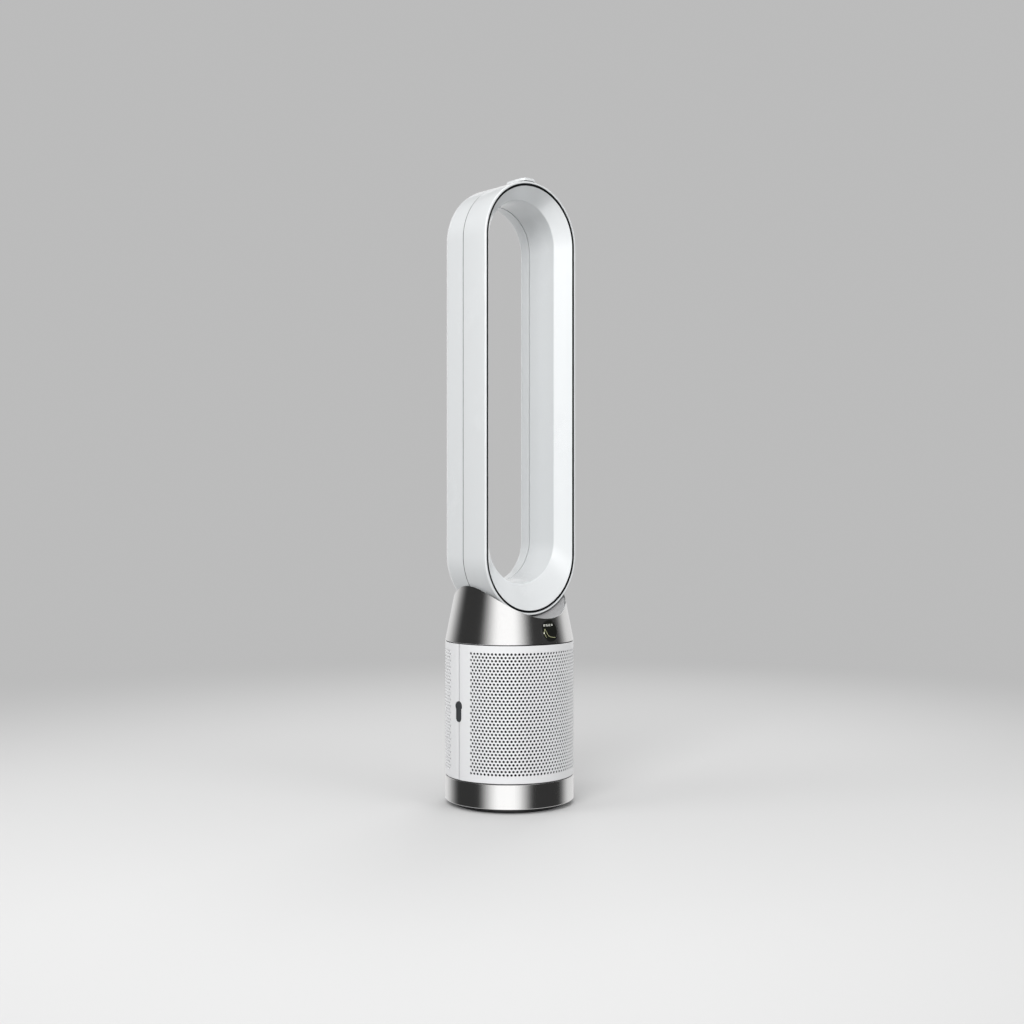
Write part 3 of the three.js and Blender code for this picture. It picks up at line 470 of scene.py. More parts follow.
class Look(Enum):
    """The finishes of the fan. Most are named for the record's material slot that they dress."""

    WHITE_GLOSS = MouldedPlastic("casing_white", (0.80, 0.82, 0.83), 0.26, 0.12, 0.5, 0.08)
    SHROUD_WHITE = MouldedPlastic("shroud_white", (0.84, 0.845, 0.855), 0.34, 0.2, 0.3)
    CRADLE_GREY = MouldedPlastic("cradle_grey", (0.40, 0.40, 0.405), 0.35, 0.3)
    PALE_GREY = MouldedPlastic("pale_grey", (0.45, 0.47, 0.50), 0.5, 0.4)
    DARK_GREY = MouldedPlastic("dark_grey", (0.045, 0.048, 0.052), 0.38, 0.4)
    BLACK_PLASTIC = MouldedPlastic("black_plastic", (0.012, 0.012, 0.014), 0.5, 0.5)
    GLOSS_BLACK = MouldedPlastic("gloss_black", (0.006, 0.007, 0.008), 0.12, 0.05, 0.6)
    DISPLAY_GLASS = MouldedPlastic("display_window", (0.010, 0.011, 0.009), 0.07, 0.02, 1.0)
    ACETAL = MouldedPlastic("acetal", (0.68, 0.66, 0.60), 0.45, 0.3)
    NICKEL = WorkedMetal("brushed_nickel", (0.6708, 0.6665, 0.6622), (0.78, 0.775, 0.77), 900.0,
                         (1.0, 1.0, 0.012), 0.17, 0.12, (0.1, 0.00003), patches=0.05)
    STEEL = WorkedMetal("turned_steel", (0.4, 0.41, 0.42), (0.52, 0.53, 0.54), 120.0,
                        (1.0, 1.0, 18.0), 0.3, 0.2, (0.2, 0.00004))
    RUBBER = Granular("rubber", (0.010, 0.010, 0.011), (0.022, 0.022, 0.024), 1800.0)
    PAPER = Granular("filter_cloth", (0.012, 0.012, 0.013), (0.035, 0.035, 0.037), 2200.0, 0.95)
    CARBON = Granular("carbon", (0.008, 0.008, 0.008), (0.03, 0.03, 0.032), 700.0, 0.8, 0.0006)
    BOARD = Granular("circuit_board", (0.006, 0.075, 0.032), (0.012, 0.12, 0.05), 300.0, 0.45)
    GRAPH_LINE = Glow("graph_line", (0.34, 0.35, 0.20), 0.8)
    READING = Glow("reading", (0.75, 0.76, 0.70), 0.9)

    @property
    def slot(self) -> str:
        """The record's material slot that a piece of this look belongs to."""
        shared = {Look.SHROUD_WHITE: Look.WHITE_GLOSS, Look.CRADLE_GREY: Look.PALE_GREY,
                  Look.GRAPH_LINE: Look.DISPLAY_GLASS, Look.READING: Look.DISPLAY_GLASS}
        return shared.get(self, self).name.lower()


class Workshop:
    """Dresses pieces, seats them on their bodies and reports them."""

    def __init__(self) -> None:
        """Starts with no material made."""
        self.materials: dict[Look, bpy.types.Material] = {}

    def dress(self, piece: Piece, look: Look) -> None:
        """Gives a piece the material of a look, which is made once."""
        if look not in self.materials:
            self.materials[look] = look.value.build()
        piece.data.materials.clear()
        piece.data.materials.append(self.materials[look])

    def fit(self, piece: Piece, look: Look, body: Body, *nodes: str) -> None:
        """Dresses a new piece and puts it in the place of CAD nodes.

        Args:
            piece: the new piece.
            look: its finish, which names its material slot.
            body: the body that carries it.
            nodes: the CAD nodes that it stands for.
        """
        self.dress(piece, look)
        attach(piece, body.value)
        if nodes:
            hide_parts(*nodes)
        LOG.info("%s: %d faces, on %s", piece.name, len(piece.data.polygons), body.value)

    def dress_nodes(self) -> None:
        """Gives every CAD node the look of its slot in the record."""
        for part in frame["record"]["subparts"]:
            self.dress(frame["nodes"][part["node"]], Look[part["material_slot"].upper()])


# ---- base
@dataclass
class Base:
    """The fixed foot and the metal band round it."""

    band_wall: float = 1.5
    band_edge: float = 0.7  # easing of the band's rims
    band_step: float = 1.5  # degrees from one line of points to the next
    socket_half_width: float = 13.5
    socket_heights: tuple[float, float] = (12.5, 29.5)
    plinth_bore: float = 10.0
    plinth_heights: tuple[float, float] = (8.9, 9.0)  # of its top, at the rim and at the boss
    boss_radius: float = 24.0
    pad_bore: float = 82.0

    def band(self) -> Piece:
        """A thin metal cylinder with a window for the mains socket at the back."""
        low, high = extent("base_band")
        radius, bottom, top = high[0], low[2], high[2]
        half = math.degrees(math.asin(self.socket_half_width / radius))
        azimuth = np.unique(np.concatenate([np.arange(0, 360, self.band_step), [180 - half, 180 + half]]))
        straight = np.linspace(bottom + self.band_edge, top - self.band_edge, 7)
        height = np.unique(np.concatenate([[bottom, top], straight, self.socket_heights]))
        inset = np.where((height == bottom) | (height == top), self.band_edge, 0.0)
        outer = polar((radius - inset)[:, None], azimuth, height[:, None])
        inner = polar(radius - self.band_wall, azimuth, height[:, None])
        mid_height = (height[:-1] + height[1:]) / 2
        mid_azimuth = azimuth + np.diff(azimuth, append=360.0) / 2
        in_rows = (mid_height > self.socket_heights[0]) & (mid_height < self.socket_heights[1])
        window = (in_rows[:, None] & (np.abs(mid_azimuth - 180) < half)).ravel()
        faces = grid_faces(len(height), len(azimuth), False, True)
        return walled_piece("band_skin", outer, inner, [faces[~window]])

    def plinth(self) -> Piece:
        """The round plate under the band, with an eased rim."""
        low, high = extent("foot_plinth")
        bore, rim, bottom, top = self.plinth_bore, high[0], low[2], high[2]
        at_rim, at_boss = self.plinth_heights
        outline = [(bore, bottom), (rim, bottom), (rim, at_rim), (self.boss_radius, at_boss),
                   (self.boss_radius, top), (bore, top)]
        return turned_piece("plinth_plate", filleted(outline, 1.2))

    def pad(self) -> Piece:
        """The rubber ring that the fan stands on."""
        rim, _, top = extent("foot_pad")[1]
        outline = [(self.pad_bore, 0), (rim, 0), (rim, top), (self.pad_bore, top)]
        return turned_piece("rubber_ring", filleted(outline, 0.5))

    def build(self, shop: Workshop) -> None:
        """Makes and fits the pieces."""
        shop.fit(self.band(), Look.NICKEL, Body.BASE, "base_band")
        shop.fit(self.plinth(), Look.BLACK_PLASTIC, Body.BASE, "foot_plinth")
        shop.fit(self.pad(), Look.RUBBER, Body.BASE, "foot_pad")


# ---- shrouds
@dataclass
class Keyhole:
    """The release button's outline: a round boss over a narrower tail."""

    boss_radius: float = 8.0
    boss_height: float = 173.4
    tail_radius: float = 6.2
    tail_height: float = 153.3

    def half_width(self, height: np.ndarray, margin: float) -> np.ndarray:
        """Half the outline's width at a height, grown by a margin; 0 outside it.

        It is the wider of the boss's circle, the tail's bottom circle and the straight tail.
        """
        boss = np.maximum((self.boss_radius + margin) ** 2 - (height - self.boss_height) ** 2, 0) ** 0.5
        tail = self.tail_radius + margin
        foot = np.maximum(tail ** 2 - (height - self.tail_height) ** 2, 0) ** 0.5
        straight = np.where((height > self.tail_height) & (height < self.boss_height), tail, 0)
        return np.maximum(np.maximum(boss, foot), straight)

    def outline(self, margin: float, steps: int = 40) -> np.ndarray:
        """The outline as (y, z) points: up the right side and down the left one."""
        low = self.tail_height - self.tail_radius - margin
        high = self.boss_height + self.boss_radius + margin
        height = low + (high - low) * (1 - np.cos(np.linspace(0, math.pi, steps + 1))) / 2
        right = np.stack([self.half_width(height, margin), height], axis=1)
        return np.concatenate([right, right[-2:0:-1] * [-1, 1]])


@dataclass
class Shroud:
    """Half of the outer cylinder, pierced by staggered rows of round holes."""

    node: str
    body: Body
    turn: float  # degrees about Z: 0 for the front half, 180 for the back one
    rows: int = 37
    columns: int = 45
    field_reach: float = 76.95  # degrees from the middle to the field's edge
    field_heights: tuple[float, float] = (62.25, 265.75)
    hole_radius: float = 2.15
    wall: float = 1.0
    edge: float = 0.6  # easing of the upper and lower rim
    seam: float = 0.7
    chamfer_reach: float = 6.5  # of the flat along the seam
    chamfer_depth: float = 0.4
    keyhole: Keyhole = field(default_factory=Keyhole)
    notch_gap: float = 0.35  # between the button and its notch
    bridge: float = 1.6  # degrees from the field to the margin's first line
    fine: int = 5  # levels of the margins for each level of the field
    margin_shares: tuple[float, ...] = (0.0, 0.35, 0.65, 0.85, 0.95, 0.985, 1.0)

    def __post_init__(self) -> None:
        """Reads the shell's size from the frame and sets out its lattice of half pitches."""
        low, high = extent("shroud_front")
        self.radius, self.bottom, self.top = high[0], low[2], high[2]
        self.lines = 2 * self.columns + 2
        self.row_heights = np.linspace(*self.field_heights, 2 * self.rows + 1)
        below = [self.bottom, self.bottom + self.edge, (self.bottom + self.row_heights[0]) / 2]
        above = [(self.top + self.row_heights[-1]) / 2, self.top - self.edge, self.top]
        self.first = len(below)
        self.levels = np.concatenate([below, self.row_heights, above])
        self.azimuth = np.linspace(-self.field_reach, self.field_reach, self.lines)

    def surface(self, azimuth: np.ndarray, height: np.ndarray) -> tuple[np.ndarray, np.ndarray]:
        """Outer and inner points, with the outer edges eased.

        Args:
            azimuth: angles in degrees from the half's middle.
            height: heights.

        Returns:
            The outer points and the points behind them.
        """
        to_end = np.minimum(height - self.bottom, self.top - height)
        to_seam = (90 - np.abs(azimuth)) * math.radians(1) * self.radius - self.seam
        near = np.minimum(to_end, to_seam)
        inset = self.edge * np.clip(1 - near / self.edge, 0, 1) ** 2
        inset = inset + self.chamfer_depth * np.clip(1 - to_seam / self.chamfer_reach, 0, 1)
        angle = azimuth + self.turn
        inner = self.radius - self.wall - self.chamfer_depth
        return polar(self.radius - inset, angle, height), polar(inner, angle, height)

    def pierced_field(self) -> tuple[np.ndarray, np.ndarray, Faces]:
        """The lattice with its holes.

        A hole's cell is two half pitches wide and one row high, and every second row starts half a pitch
        later. Eight quads join a cell's border to its hole.

        Returns:
            Azimuths and heights of the points, and the faces.
        """
        lattice_azimuth, lattice_height = np.meshgrid(self.azimuth, self.levels)

        def polygon(level: np.ndarray, line: np.ndarray, corners: Sequence[tuple[int, int]]) -> np.ndarray:
            """Lattice points by their steps up and sideways from a level of the field and a line."""
            number = [(self.first + level + up) * self.lines + line + side for up, side in corners]
            return np.stack(number, axis=-1).reshape(-1, len(corners))

        row, column = np.meshgrid(np.arange(self.rows), np.arange(self.columns), indexing="ij")
        left, base = 2 * column + row % 2, 2 * row
        border = polygon(base, left, [(0, 0), (0, 1), (0, 2), (1, 2), (2, 2), (2, 1), (2, 0), (1, 0)])
        around = np.radians(np.arange(8) * 45.0 - 135.0)
        degrees = math.degrees(self.hole_radius / self.radius)
        hole_azimuth = self.azimuth[left + 1].reshape(-1, 1) + degrees * np.cos(around)
        hole_height = self.row_heights[base + 1].reshape(-1, 1) + self.hole_radius * np.sin(around)
        hole = lattice_azimuth.size + np.arange(border.size).reshape(-1, 8)
        cells = np.stack([border, np.roll(border, -1, 1), np.roll(hole, -1, 1), hole], axis=-1).reshape(-1, 4)

        level = 2 * np.arange(self.rows)
        blank = np.where(np.arange(self.rows) % 2 == 0, self.lines - 2, 0)
        fillers = [polygon(level + k, blank, [(0, 0), (0, 1), (1, 1), (1, 0)]) for k in (0, 1)]
        strips = grid_faces(len(self.levels), self.lines)
        strip_level = strips[:, 0] // self.lines
        outside = (strip_level < self.first) | (strip_level >= self.first + 2 * self.rows)
        azimuth = np.concatenate([lattice_azimuth.ravel(), hole_azimuth.ravel()])
        height = np.concatenate([lattice_height.ravel(), hole_height.ravel()])
        return azimuth, height, [cells, *fillers, strips[outside]]

    def margin(self, side: int, start: int) -> tuple[np.ndarray, np.ndarray, Faces]:
        """The plain stretch from the field to the seam, with the keyhole's notch in its edge.

        Its levels are finer than the field's, so each face that bridges the two has many corners.

        Args:
            side: -1 or 1.
            start: the number of the stretch's first point.

        Returns:
            Azimuths and heights of the points, and the faces.
        """
        steps, columns = len(self.levels) - 1, len(self.margin_shares)
        count = self.fine * steps + 1
        height = np.interp(np.arange(count) / self.fine, np.arange(steps + 1), self.levels)
        notch = self.keyhole.half_width(height, self.notch_gap)
        reach = 90 - np.degrees(np.maximum(self.seam, notch) / self.radius)
        inner = self.field_reach + self.bridge
        azimuth = side * (inner + (reach[:, None] - inner) * np.array(self.margin_shares))
        panel = grid_faces(count, columns) + start
        coarse = np.arange(steps + 1) * self.lines + (self.lines - 1 if side > 0 else 0)
        fine = start + columns * (self.fine * np.arange(steps)[:, None] + np.arange(self.fine + 1))
        bridges = np.concatenate([coarse[:-1, None], fine, coarse[1:, None]], axis=1)
        faces = [panel, bridges] if side > 0 else [panel[:, ::-1], bridges[:, ::-1]]
        return azimuth.ravel(), np.repeat(height, columns), faces

    def build(self, shop: Workshop) -> None:
        """Makes the pierced shell and fits it."""
        azimuth, height, faces = self.pierced_field()
        for side in (-1, 1):
            more_azimuth, more_height, more_faces = self.margin(side, len(azimuth))
            azimuth = np.concatenate([azimuth, more_azimuth])
            height = np.concatenate([height, more_height])
            faces += more_faces
        shell = walled_piece(f"{self.node}_shell", *self.surface(azimuth, height), faces)
        shop.fit(shell, Look.SHROUD_WHITE, self.body, self.node)


@dataclass
class ReleaseButton:
    """The keyhole-shaped button across the seam of the shrouds, with a domed face."""

    node: str
    body: Body
    side: int
    keyhole: Keyhole = field(default_factory=Keyhole)
    dome: Path = (  # depths under the face, and how far the outline grows
        (0.9, 0.0), (0.35, -0.25), (0.08, -0.8), (0.0, -1.6), (0.05, -3.0), (0.25, -5.0))

    def build(self, shop: Workshop) -> None:
        """Makes the button from outlines at growing distances from the axis."""
        low, high = extent(self.node)
        reach = np.abs([low[0], high[0]])
        rows = []
        for distance, growth in [(reach.min(), 0.0), *[(reach.max() - depth, g) for depth, g in self.dome]]:
            outline = self.keyhole.outline(growth)
            rows.append(np.insert(outline, 0, self.side * distance, axis=1))
        shop.fit(lofted_piece(f"{self.node}_cap", rows), Look.DARK_GREY, self.body, self.node)


# ---- collar
@dataclass
class Collar:
    """The metal cone with a saddle cut in its top, and the cradle in the saddle."""

    slope: float = 0.2
    wall: float = 2.0
    trough_radius: float = 104.0
    trough_height: float = 424.0
    cradle_gap: float = 0.3  # between the cradle and the cone's wall
    cradle_sheet: float = 2.4
    neck_share: float = 0.46  # the neck's opening, as a share of the way to the cradle's edge
    cradle_steps: int = 12
    columns: int = 288

    def __post_init__(self) -> None:
        """Reads the cone's foot from the frame and sets out its columns."""
        low, high = extent("collar_skin")
        self.foot_radius, self.foot = high[0], low[2]
        self.azimuth = np.arange(self.columns) * 360.0 / self.columns

    def radius(self, height: np.ndarray) -> np.ndarray:
        """The cone's outer radius at a height."""
        return self.foot_radius - self.slope * (height - self.foot)

    def saddle(self, depth: float) -> np.ndarray:
        """The height at each azimuth where the cone, a depth under its face, meets the trough.

        The trough is a cylinder along Y, so the height is its centre less the root of its radius squared less
        x squared, where x is the cone's radius at that height times the azimuth's sine.
        """
        height = np.full_like(self.azimuth, self.trough_height - self.trough_radius)
        for _ in range(40):
            across = (self.radius(height) - depth) * np.sin(np.radians(self.azimuth))
            height = self.trough_height - np.sqrt(self.trough_radius ** 2 - across ** 2)
        return height

    def skin(self) -> Piece:
        """The cone's shell, from its foot to the saddle and back down inside.

        Its stations are shares of the way up, and depths under the face.
        """
        face = [(share, 0.0) for share in np.linspace(0.03, 0.97, 12)]
        rows = []
        for share, depth in [(0, 0.4), (0.004, 0.0), *face, (0.996, 0.0), (1.0, 0.35),
                             (1.0, self.wall), (0.5, self.wall), (0, self.wall)]:
            height = self.foot + (self.saddle(depth) - self.foot) * share
            rows.append(polar(self.radius(height) - depth, self.azimuth, height))
        return lofted_piece("collar_shell", rows, ring=True)

    def cradle(self) -> Piece:
        """The trough's sheet, from the neck's opening out to the collar's wall."""
        depth = self.wall + self.cradle_gap
        edge_height = self.saddle(depth)
        edge = polar(self.radius(edge_height) - depth, self.azimuth, edge_height)
        rows = []
        for start, end, drop in ((self.neck_share, 1.0, 0.0), (1.0, self.neck_share, self.cradle_sheet)):
            for share in np.linspace(start, end, self.cradle_steps):
                across, along = edge[:, 0] * share, edge[:, 1] * share
                height = self.trough_height - np.sqrt((self.trough_radius + drop) ** 2 - across ** 2)
                rows.append(np.column_stack([across, along, height]))
        return lofted_piece("cradle_sheet", rows, ring=True)

    def build(self, shop: Workshop) -> None:
        """Makes and fits the pieces."""
        shop.fit(self.skin(), Look.NICKEL, Body.MACHINE, "collar_skin")
        shop.fit(self.cradle(), Look.CRADLE_GREY, Body.MACHINE, "cradle")


@dataclass
class Display:
    """The round display on the collar: bezel, window, a generic graph of air quality and a row of digits."""

    collar: Collar
    height: float = 300.0
    radius: float = 18.2
    sides: int = 96
    line_proud: tuple[float, float] = (0.22, 0.3)  # bottom and top of the lit lines over the collar
    curve: Path = ((-12.6, -3.0), (-11.6, 2.5), (-10.8, 3.4), (-8.8, -1.0), (-5.4, -8.0), (-1.5, -10.2),
                   (3.0, -11.2), (9.5, -12.0))
    short_curve: Path = ((-14.0, -1.4), (-9.6, -11.6))
    marker: Path = ((-14.4, -3.6), (-12.6, -3.6))
    digits: str = "2523"
    digit_corner: tuple[float, float] = (-13.0, 8.0)  # lower left corner of the first digit
    digit_pitch: float = 5.3
    digit_width: float = 3.2
    digit_half_height: float = 1.35

    def on_face(self, across: np.ndarray, up: np.ndarray, proud: float) -> np.ndarray:
        """Points of the display's face: offsets from its centre laid on the cone.

        Args:
            across: offsets to the right.
            up: offsets up the slope.
            proud: height over the collar's face.

        Returns:
            The points.
        """
        height = self.height + up * math.cos(math.atan(self.collar.slope))
        radius = self.collar.radius(height) + proud
        return np.stack([across, -np.sqrt(radius ** 2 - across ** 2), height], axis=-1)

    def circles(self, stations: Path) -> list[np.ndarray]:
        """Circles laid on the cone, from (radius, proud) stations."""
        around = np.radians(np.arange(self.sides) * 360.0 / self.sides)
        return [self.on_face(r * np.cos(around), r * np.sin(around), proud) for r, proud in stations]

    def bezel(self) -> Piece:
        """The thin ring round the window."""
        r = self.radius
        stations = [(r, -2.0), (r, 0.1), (r - 0.2, 0.32), (r - 0.7, 0.34), (r - 0.9, 0.2), (r - 0.9, -2.0)]
        return lofted_piece("bezel_ring", self.circles(stations), ring=True)

    def window(self) -> Piece:
        """The black window, with its rim eased."""
        r = self.radius - 1.0
        inner = [(r * share, 0.26) for share in (0.9, 0.75, 0.55, 0.35, 0.15, 0.03)]
        return lofted_piece("display_window", self.circles([(r, -1.8), (r, 0.1), (r - 0.2, 0.24), *inner]))

    def ribbon(self, name: str, path: Path, width: float) -> Piece:
        """A flat lit line on the window.

        Args:
            name: the piece's name.
            path: its points, as offsets from the display's centre.
            width: its width.

        Returns:
            The new object.
        """
        line = np.array(path, dtype=float)
        share = np.linspace(0, len(line) - 1, 6 * (len(line) - 1) + 1)
        fine = np.column_stack([np.interp(share, np.arange(len(line)), line[:, k]) for k in (0, 1)])
        along = np.gradient(fine, axis=0)
        along /= np.linalg.norm(along, axis=1, keepdims=True)
        side = np.column_stack([-along[:, 1], along[:, 0]]) * width / 2
        bottom, top = self.line_proud
        rows = [self.on_face(*(fine + offset).T, proud)
                for offset, proud in [(-side, top), (side, top), (side, bottom), (-side, bottom)]]
        return lofted_piece(name, np.swapaxes(rows, 0, 1))

    def reading(self) -> list[Piece]:
        """The digits, each of straight bars on a grid one bar wide and two bars high."""
        level = [((0, y), (1, y)) for y in (0, 1, 2)]
        bars = {"2": [*level, ((1, 2), (1, 1)), ((0, 1), (0, 0))],
                "3": [*level, ((1, 2), (1, 1)), ((1, 1), (1, 0))],
                "5": [*level, ((0, 2), (0, 1)), ((1, 1), (1, 0))]}
        pieces = []
        for place, digit in enumerate(self.digits):
            left, foot = self.digit_corner[0] + self.digit_pitch * place, self.digit_corner[1]
            for count, ends in enumerate(bars[digit]):
                path = [(left + self.digit_width * x, foot + self.digit_half_height * y) for x, y in ends]
                pieces.append(self.ribbon(f"reading_{place}_{count}", path, 0.36))
        return pieces

    def build(self, shop: Workshop) -> None:
        """Makes and fits the pieces."""
        shop.fit(self.bezel(), Look.GLOSS_BLACK, Body.MACHINE, "display_bezel")
        shop.fit(self.window(), Look.DISPLAY_GLASS, Body.MACHINE, "display_glass")
        shop.fit(self.ribbon("graph_line_main", self.curve, 0.6), Look.GRAPH_LINE, Body.MACHINE)
        shop.fit(self.ribbon("graph_line_side", self.short_curve, 0.5), Look.GRAPH_LINE, Body.MACHINE)
        shop.fit(self.ribbon("graph_marker", self.marker, 1.5), Look.READING, Body.MACHINE)
        for bar in self.reading():
            shop.fit(bar, Look.READING, Body.MACHINE)


# ---- loop
@dataclass
class Loop:
    """The upright air loop: a hollow ring of shells with a slot for the air.

    A shell is a closed section of (radius, y) points carried round the loop.
    """

    rim_radius: float = 97.3  # inner edge of the front rim
    flare_radius: float = 93.0
    throat_radius: float = 72.5
    throat_low: float = 447.5
    throat_high: float = 954.5
    wall: float = 2.4
    corner: float = 20.0  # radius of the round corner at the back
    lip_radius: float = 78.4
    seam: float = 0.8  # from the middle of the gap to each casing
    arc_steps: int = 96

    def __post_init__(self) -> None:
        """Reads the loop's size from the frame."""
        low, high = extent("loop_front_casing")
        self.half_width, self.front, self.back = high[0], low[1], extent("loop_rear_casing")[1][1]
        self.low, self.high = low[2] + self.half_width, high[2] - self.half_width

    def ring(self, name: str, section: np.ndarray) -> Piece:
        """Carries a section round two half circles and the straight sides between them.

        Inside the flare's outer edge the half circles' centres move from the casing's to the throat's.
        """
        radius, depth = section[:, :1], section[:, 1:]
        share = np.clip((self.flare_radius - radius) / (self.flare_radius - self.throat_radius), 0, 1)
        low = self.low + (self.throat_low - self.low) * share
        high = self.high + (self.throat_high - self.high) * share
        arc = np.linspace(0, math.pi, self.arc_steps + 1)
        angle = np.concatenate([arc, arc + math.pi])
        centre = np.where(np.arange(len(angle)) <= self.arc_steps, high, low)
        points = np.broadcast_arrays(radius * np.cos(angle), depth, centre + radius * np.sin(angle))
        return lofted_piece(name, np.stack(points, axis=-1), ring=True)

    def gasket(self) -> np.ndarray:
        """A dark strip in the gap between the front and the back casing: painted shade, standing in for the
        shadow deep inside the seam.
        """
        outer, inner, half = self.half_width - 0.3, self.half_width - self.wall, self.seam
        return filleted([(outer, -half), (outer, half), (inner, half), (inner, -half)], 0.1, 2)

    def front_casing(self) -> np.ndarray:
        """The outer wall's front half and the rim round the mouth."""
        r, y, inner = self.half_width, self.front, self.half_width - self.wall
        return filleted([(r, -self.seam), (r, y + 1.6), (r - 1.4, y), (self.rim_radius, y),
                         (self.rim_radius, y + 3.2), (inner, y + 4.2), (inner, -self.seam)], 0.5)

    def rear_casing(self) -> np.ndarray:
        """The outer wall's back half and its round corner."""
        r, y, lip = self.half_width, self.back, self.lip_radius
        turn = np.radians(np.linspace(0, 90, 19))

        def corner(radius: float) -> np.ndarray:
            """The round back corner at a radius from its centre."""
            return np.column_stack([r - self.corner + radius * np.cos(turn),
                                    y - self.corner + radius * np.sin(turn)])

        return np.concatenate([
            [[r - 0.25, self.seam], [r, self.seam + 0.25]], corner(self.corner),
            [[lip + 0.2, y], [lip, y - 0.2], [lip, y - self.wall]], corner(self.corner - self.wall)[::-1],
            [[r - self.wall, self.seam]],
        ])

    def rear_lip(self) -> np.ndarray:
        """The lip that rolls from the back into the throat and overlaps the air slot."""
        y, edge = self.back, self.lip_radius - 0.3
        ends = np.array([[self.lip_radius - 0.5, y], [73.0, y], [72.3, y - 8]])
        return np.concatenate([
            [[edge, y - self.wall], [edge, y - 0.2]], quadratic(*ends, 12),
            [[71.2, 36.0], [70.9, 31.9], [71.2, 31.4], [73.0, 31.4], [75.2, y - 6.0]],
        ])

    def trim(self) -> np.ndarray:
        """The black ring between the rim and the flare."""
        y, outer, inner = self.front, self.rim_radius - 0.15, self.flare_radius + 0.5
        return filleted([(outer, y + 0.9), (outer, y + 3), (inner, y + 3), (inner, y + 1.1)], 0.4)

    def nozzle(self) -> np.ndarray:
        """The flared band and the wall behind it, up to the air slot."""
        y, mouth = self.front, self.flare_radius + 0.3
        return filleted([(mouth, y + 0.9), (self.throat_radius, y + 26.2), (70.7, 29.4), (72.6, 29.4),
                         (74.9, y + 27.5), (mouth, y + 4.6)], 0.9, 5)

    def build(self, shop: Workshop) -> None:
        """Makes and fits the dark strip of painted shade in the seam, and the shells."""
        for name, section, look, *node in [
            # painted shade: a dark strip in the seam stands in for the shadow in the gap between the casings
            ("casing_seam_shade", self.gasket(), Look.RUBBER),
            ("casing_front_shell", self.front_casing(), Look.WHITE_GLOSS, "loop_front_casing"),
            ("casing_rear_shell", self.rear_casing(), Look.WHITE_GLOSS, "loop_rear_casing"),
            ("lip_shell", self.rear_lip(), Look.WHITE_GLOSS, "loop_rear_lip"),
            ("black_ring", self.trim(), Look.GLOSS_BLACK, "loop_front_trim"),
            ("nozzle_shell", self.nozzle(), Look.WHITE_GLOSS, "loop_nozzle"),
        ]:
            shop.fit(self.ring(name, section), look, Body.MACHINE, *node)


# ---- remote
@dataclass(frozen=True)
class SoftNode:
    """A CAD node shown with its sharp edges rounded."""

    node: str
    body: Body
    look: Look
    reach: float  # of the rounding, from each edge
    flat: float = 1.0  # degrees between triangles that are one flat face
    bevelled: float = 50.0  # degrees past which an edge is rounded

    def build(self, shop: Workshop) -> None:
        """Copies the node's mesh, joins its flat triangles and bevels its sharp edges."""
        form = bmesh.new()
        form.from_mesh(frame["nodes"][self.node].data)
        bmesh.ops.remove_doubles(form, verts=form.verts, dist=1e-6)
        bmesh.ops.dissolve_limit(form, angle_limit=math.radians(self.flat), verts=form.verts, edges=form.edges)
        sharp = [edge for edge in form.edges if edge.calc_face_angle(0.0) > math.radians(self.bevelled)]
        bmesh.ops.bevel(form, geom=sharp, offset=self.reach * MM, segments=2, profile=0.5,
                        affect="EDGES", clamp_overlap=True)
        name = f"{self.node}_soft"
        mesh = bpy.data.meshes.new(name)
        form.to_mesh(mesh)
        form.free()
        shop.fit(smooth_object(name, mesh), self.look, self.body, self.node)


REMOTE_NODES = (
    SoftNode("remote_shell", Body.REMOTE, Look.WHITE_GLOSS, 0.45),
    SoftNode("remote_base", Body.REMOTE, Look.DARK_GREY, 0.3),
    SoftNode("remote_battery_drawer", Body.BATTERY_DRAWER, Look.DARK_GREY, 0.15),
    *(SoftNode(f"remote_button_{key}", Body(f"key_{key}"), Look.PALE_GREY, 0.35)
      for key in ("power", "flow_down", "flow_up", "sweep", "timer", "night")),
)


# ---- studio
@dataclass(frozen=True)
class Panel:
    """A light panel of the studio as polished surfaces see it, between two azimuths with soft ends."""

    rise: tuple[float, float]
    fall: tuple[float, float]
    tone: float

    def seen(self, graph: Graph, azimuth: Signal) -> Signal:
        """Its brightness at an azimuth in degrees."""
        return graph.step(azimuth, *self.rise) * (1.0 - graph.step(azimuth, *self.fall)) * self.tone


@dataclass(frozen=True)
class Lamp:
    """A square soft light that faces the fan's middle and shows in no reflection."""

    name: str
    azimuth: float
    elevation: float
    size: float  # in metres, as are the two places below
    power: float
    distance: float = 3.0
    aim_height: float = 0.5

    def build(self) -> None:
        """Makes the light."""
        data = bpy.data.lights.new(self.name, "AREA")
        data.shape, data.size, data.energy = "SQUARE", self.size, self.power
        lamp, away = new_object(self.name, data), direction(self.azimuth, self.elevation)
        aim(lamp, Vector((0, 0, self.aim_height)) + away * self.distance, away)
        lamp.visible_glossy = False


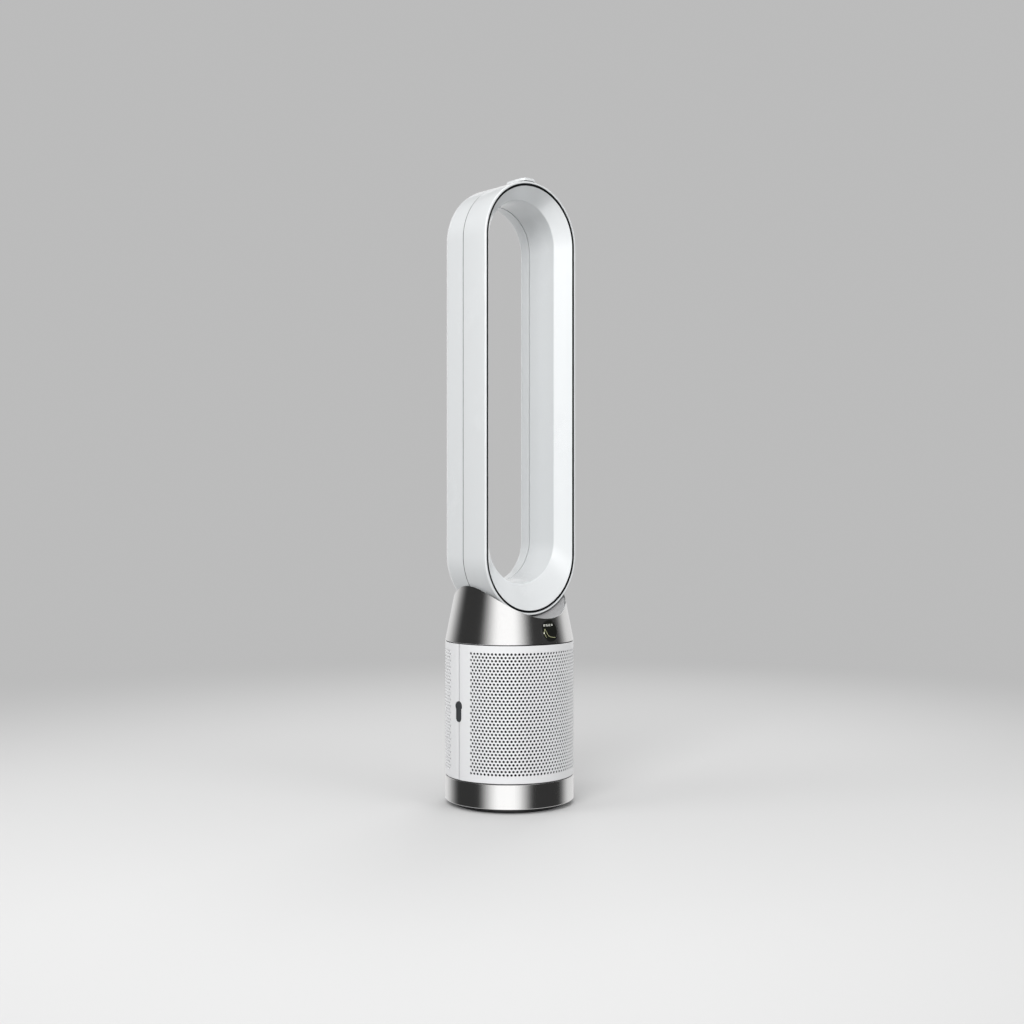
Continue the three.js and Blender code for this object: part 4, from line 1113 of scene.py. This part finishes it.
@dataclass(frozen=True)
class Studio:
    """A pale floor and backdrop, soft lights, and light panels with dark gaps for the reflections."""

    paper_colour: Colour = (0.66, 0.66, 0.66)
    paper_bounce: Colour = (0.25, 0.25, 0.25)  # what the floor throws back at the fan
    paper_rings: tuple[float, ...] = (0.01, 0.4, 1.2, 3.0, 8.0, 30.0)
    fade: tuple[float, float] = (0.7, 2.4)  # metres from the axis, where the floor turns into the backdrop
    backdrop_tone: float = 0.50
    sky_strength: float = 0.60
    gap_tone: float = 0.04
    first_azimuth: float = -140.0  # azimuths run on from here, so that no panel is split
    panel_top: tuple[float, float] = (0.47, 0.56)  # upward parts of a direction where the panels end
    above_panels: float = 0.7  # the share of light lost there
    ceiling: tuple[float, float] = (0.8, 0.95)  # upward parts where a pale ceiling begins
    ceiling_tone: float = 0.6
    panels: tuple[Panel, Panel] = (
        Panel((-99.0, -57.0), (-34.0, 5.0), 1.32),
        Panel((57.0, 93.0), (170.0, 220.0), 0.80),
    )
    lamps: tuple[Lamp, ...] = (
        Lamp("key_light", -54.0, 29.0, 1.6, 55.0),
        Lamp("fill_light", 12.0, 14.0, 1.6, 20.0),
        Lamp("side_light", -112.0, 20.0, 1.4, 18.0),
        Lamp("back_light", 125.0, 25.0, 1.6, 24.0),
    )

    def floor(self) -> None:
        """A round floor of paper, in metres, that fades into the backdrop's tone for the camera."""
        azimuth = np.arange(0, 360, 5)
        points = polar(np.array(self.paper_rings)[:, None], azimuth, 0.0).reshape(-1, 3)
        faces = grid_faces(len(self.paper_rings), len(azimuth), False, True)
        mesh = bpy.data.meshes.new("paper_floor")
        mesh.from_pydata(points.tolist(), [], faces.tolist())
        paper = new_object("paper_floor", mesh)
        paper.visible_glossy = False
        finish = Finish("studio_paper")
        away = finish.node("ShaderNodeVectorMath", {0: finish.place}, "Value", operation="LENGTH")
        camera = finish.node("ShaderNodeLightPath", {}, "Is Camera Ray")
        faded = finish.step(away, *self.fade) * camera
        lit = finish.blend(camera, self.paper_bounce, self.paper_colour)
        black, backdrop = (0.0,) * 3, (self.backdrop_tone,) * 3
        finish.set(Base_Color=finish.blend(faded, lit, black), Roughness=0.9, Specular_IOR_Level=0.0,
                   Emission_Color=finish.blend(faded, black, backdrop), Emission_Strength=1.0)
        mesh.materials.append(finish.material)

    def sky(self) -> None:
        """An even light all round, the backdrop for the camera, and the panels for reflections."""
        world = bpy.data.worlds.new("studio_sky")
        bpy.context.scene.world = world
        world.use_nodes = True
        graph = Graph(world.node_tree)
        place = graph.node("ShaderNodeTexCoord", {}, "Generated")
        across, along, up = (graph.node("ShaderNodeSeparateXYZ", {"Vector": place}, axis) for axis in "XYZ")
        degrees = across.turn_from(along * -1.0) * math.degrees(1.0)
        azimuth = (degrees - self.first_azimuth) % 360.0 + self.first_azimuth
        left, right = (panel.seen(graph, azimuth) for panel in self.panels)
        walls = (left + right + self.gap_tone) * (1.0 - graph.step(up, *self.panel_top) * self.above_panels)
        tone = walls + graph.step(up, *self.ceiling) * self.ceiling_tone
        camera, glossy = (graph.node("ShaderNodeLightPath", {}, name)
                          for name in ("Is Camera Ray", "Is Glossy Ray"))
        lit = graph.blend(glossy, (self.sky_strength,) * 3, tone)
        feed(graph.tree.nodes["Background"].inputs["Color"],
             graph.blend(camera, lit, (self.backdrop_tone,) * 3))

    def build(self) -> None:
        """Sets the stage."""
        self.floor()
        self.sky()
        for lamp in self.lamps:
            lamp.build()


def main() -> None:
    """Builds the camera, the fan's pieces and the studio."""
    logging.basicConfig(level=logging.INFO, format="%(message)s")
    bpy.context.scene.view_settings.view_transform = "Standard"
    PhotoCamera().build()
    shop = Workshop()
    shop.dress_nodes()
    collar = Collar()
    for assembly in (
        Base(),
        Shroud("shroud_front", Body.FRONT_SHROUD, 0.0),
        Shroud("shroud_rear", Body.REAR_SHROUD, 180.0),
        ReleaseButton("release_button_left", Body.LEFT_BUTTON, -1),
        ReleaseButton("release_button_right", Body.RIGHT_BUTTON, 1),
        collar,
        Display(collar),
        Loop(),
        *REMOTE_NODES,
    ):
        assembly.build(shop)
    Studio().build()


if __name__ == "__main__":
    main()
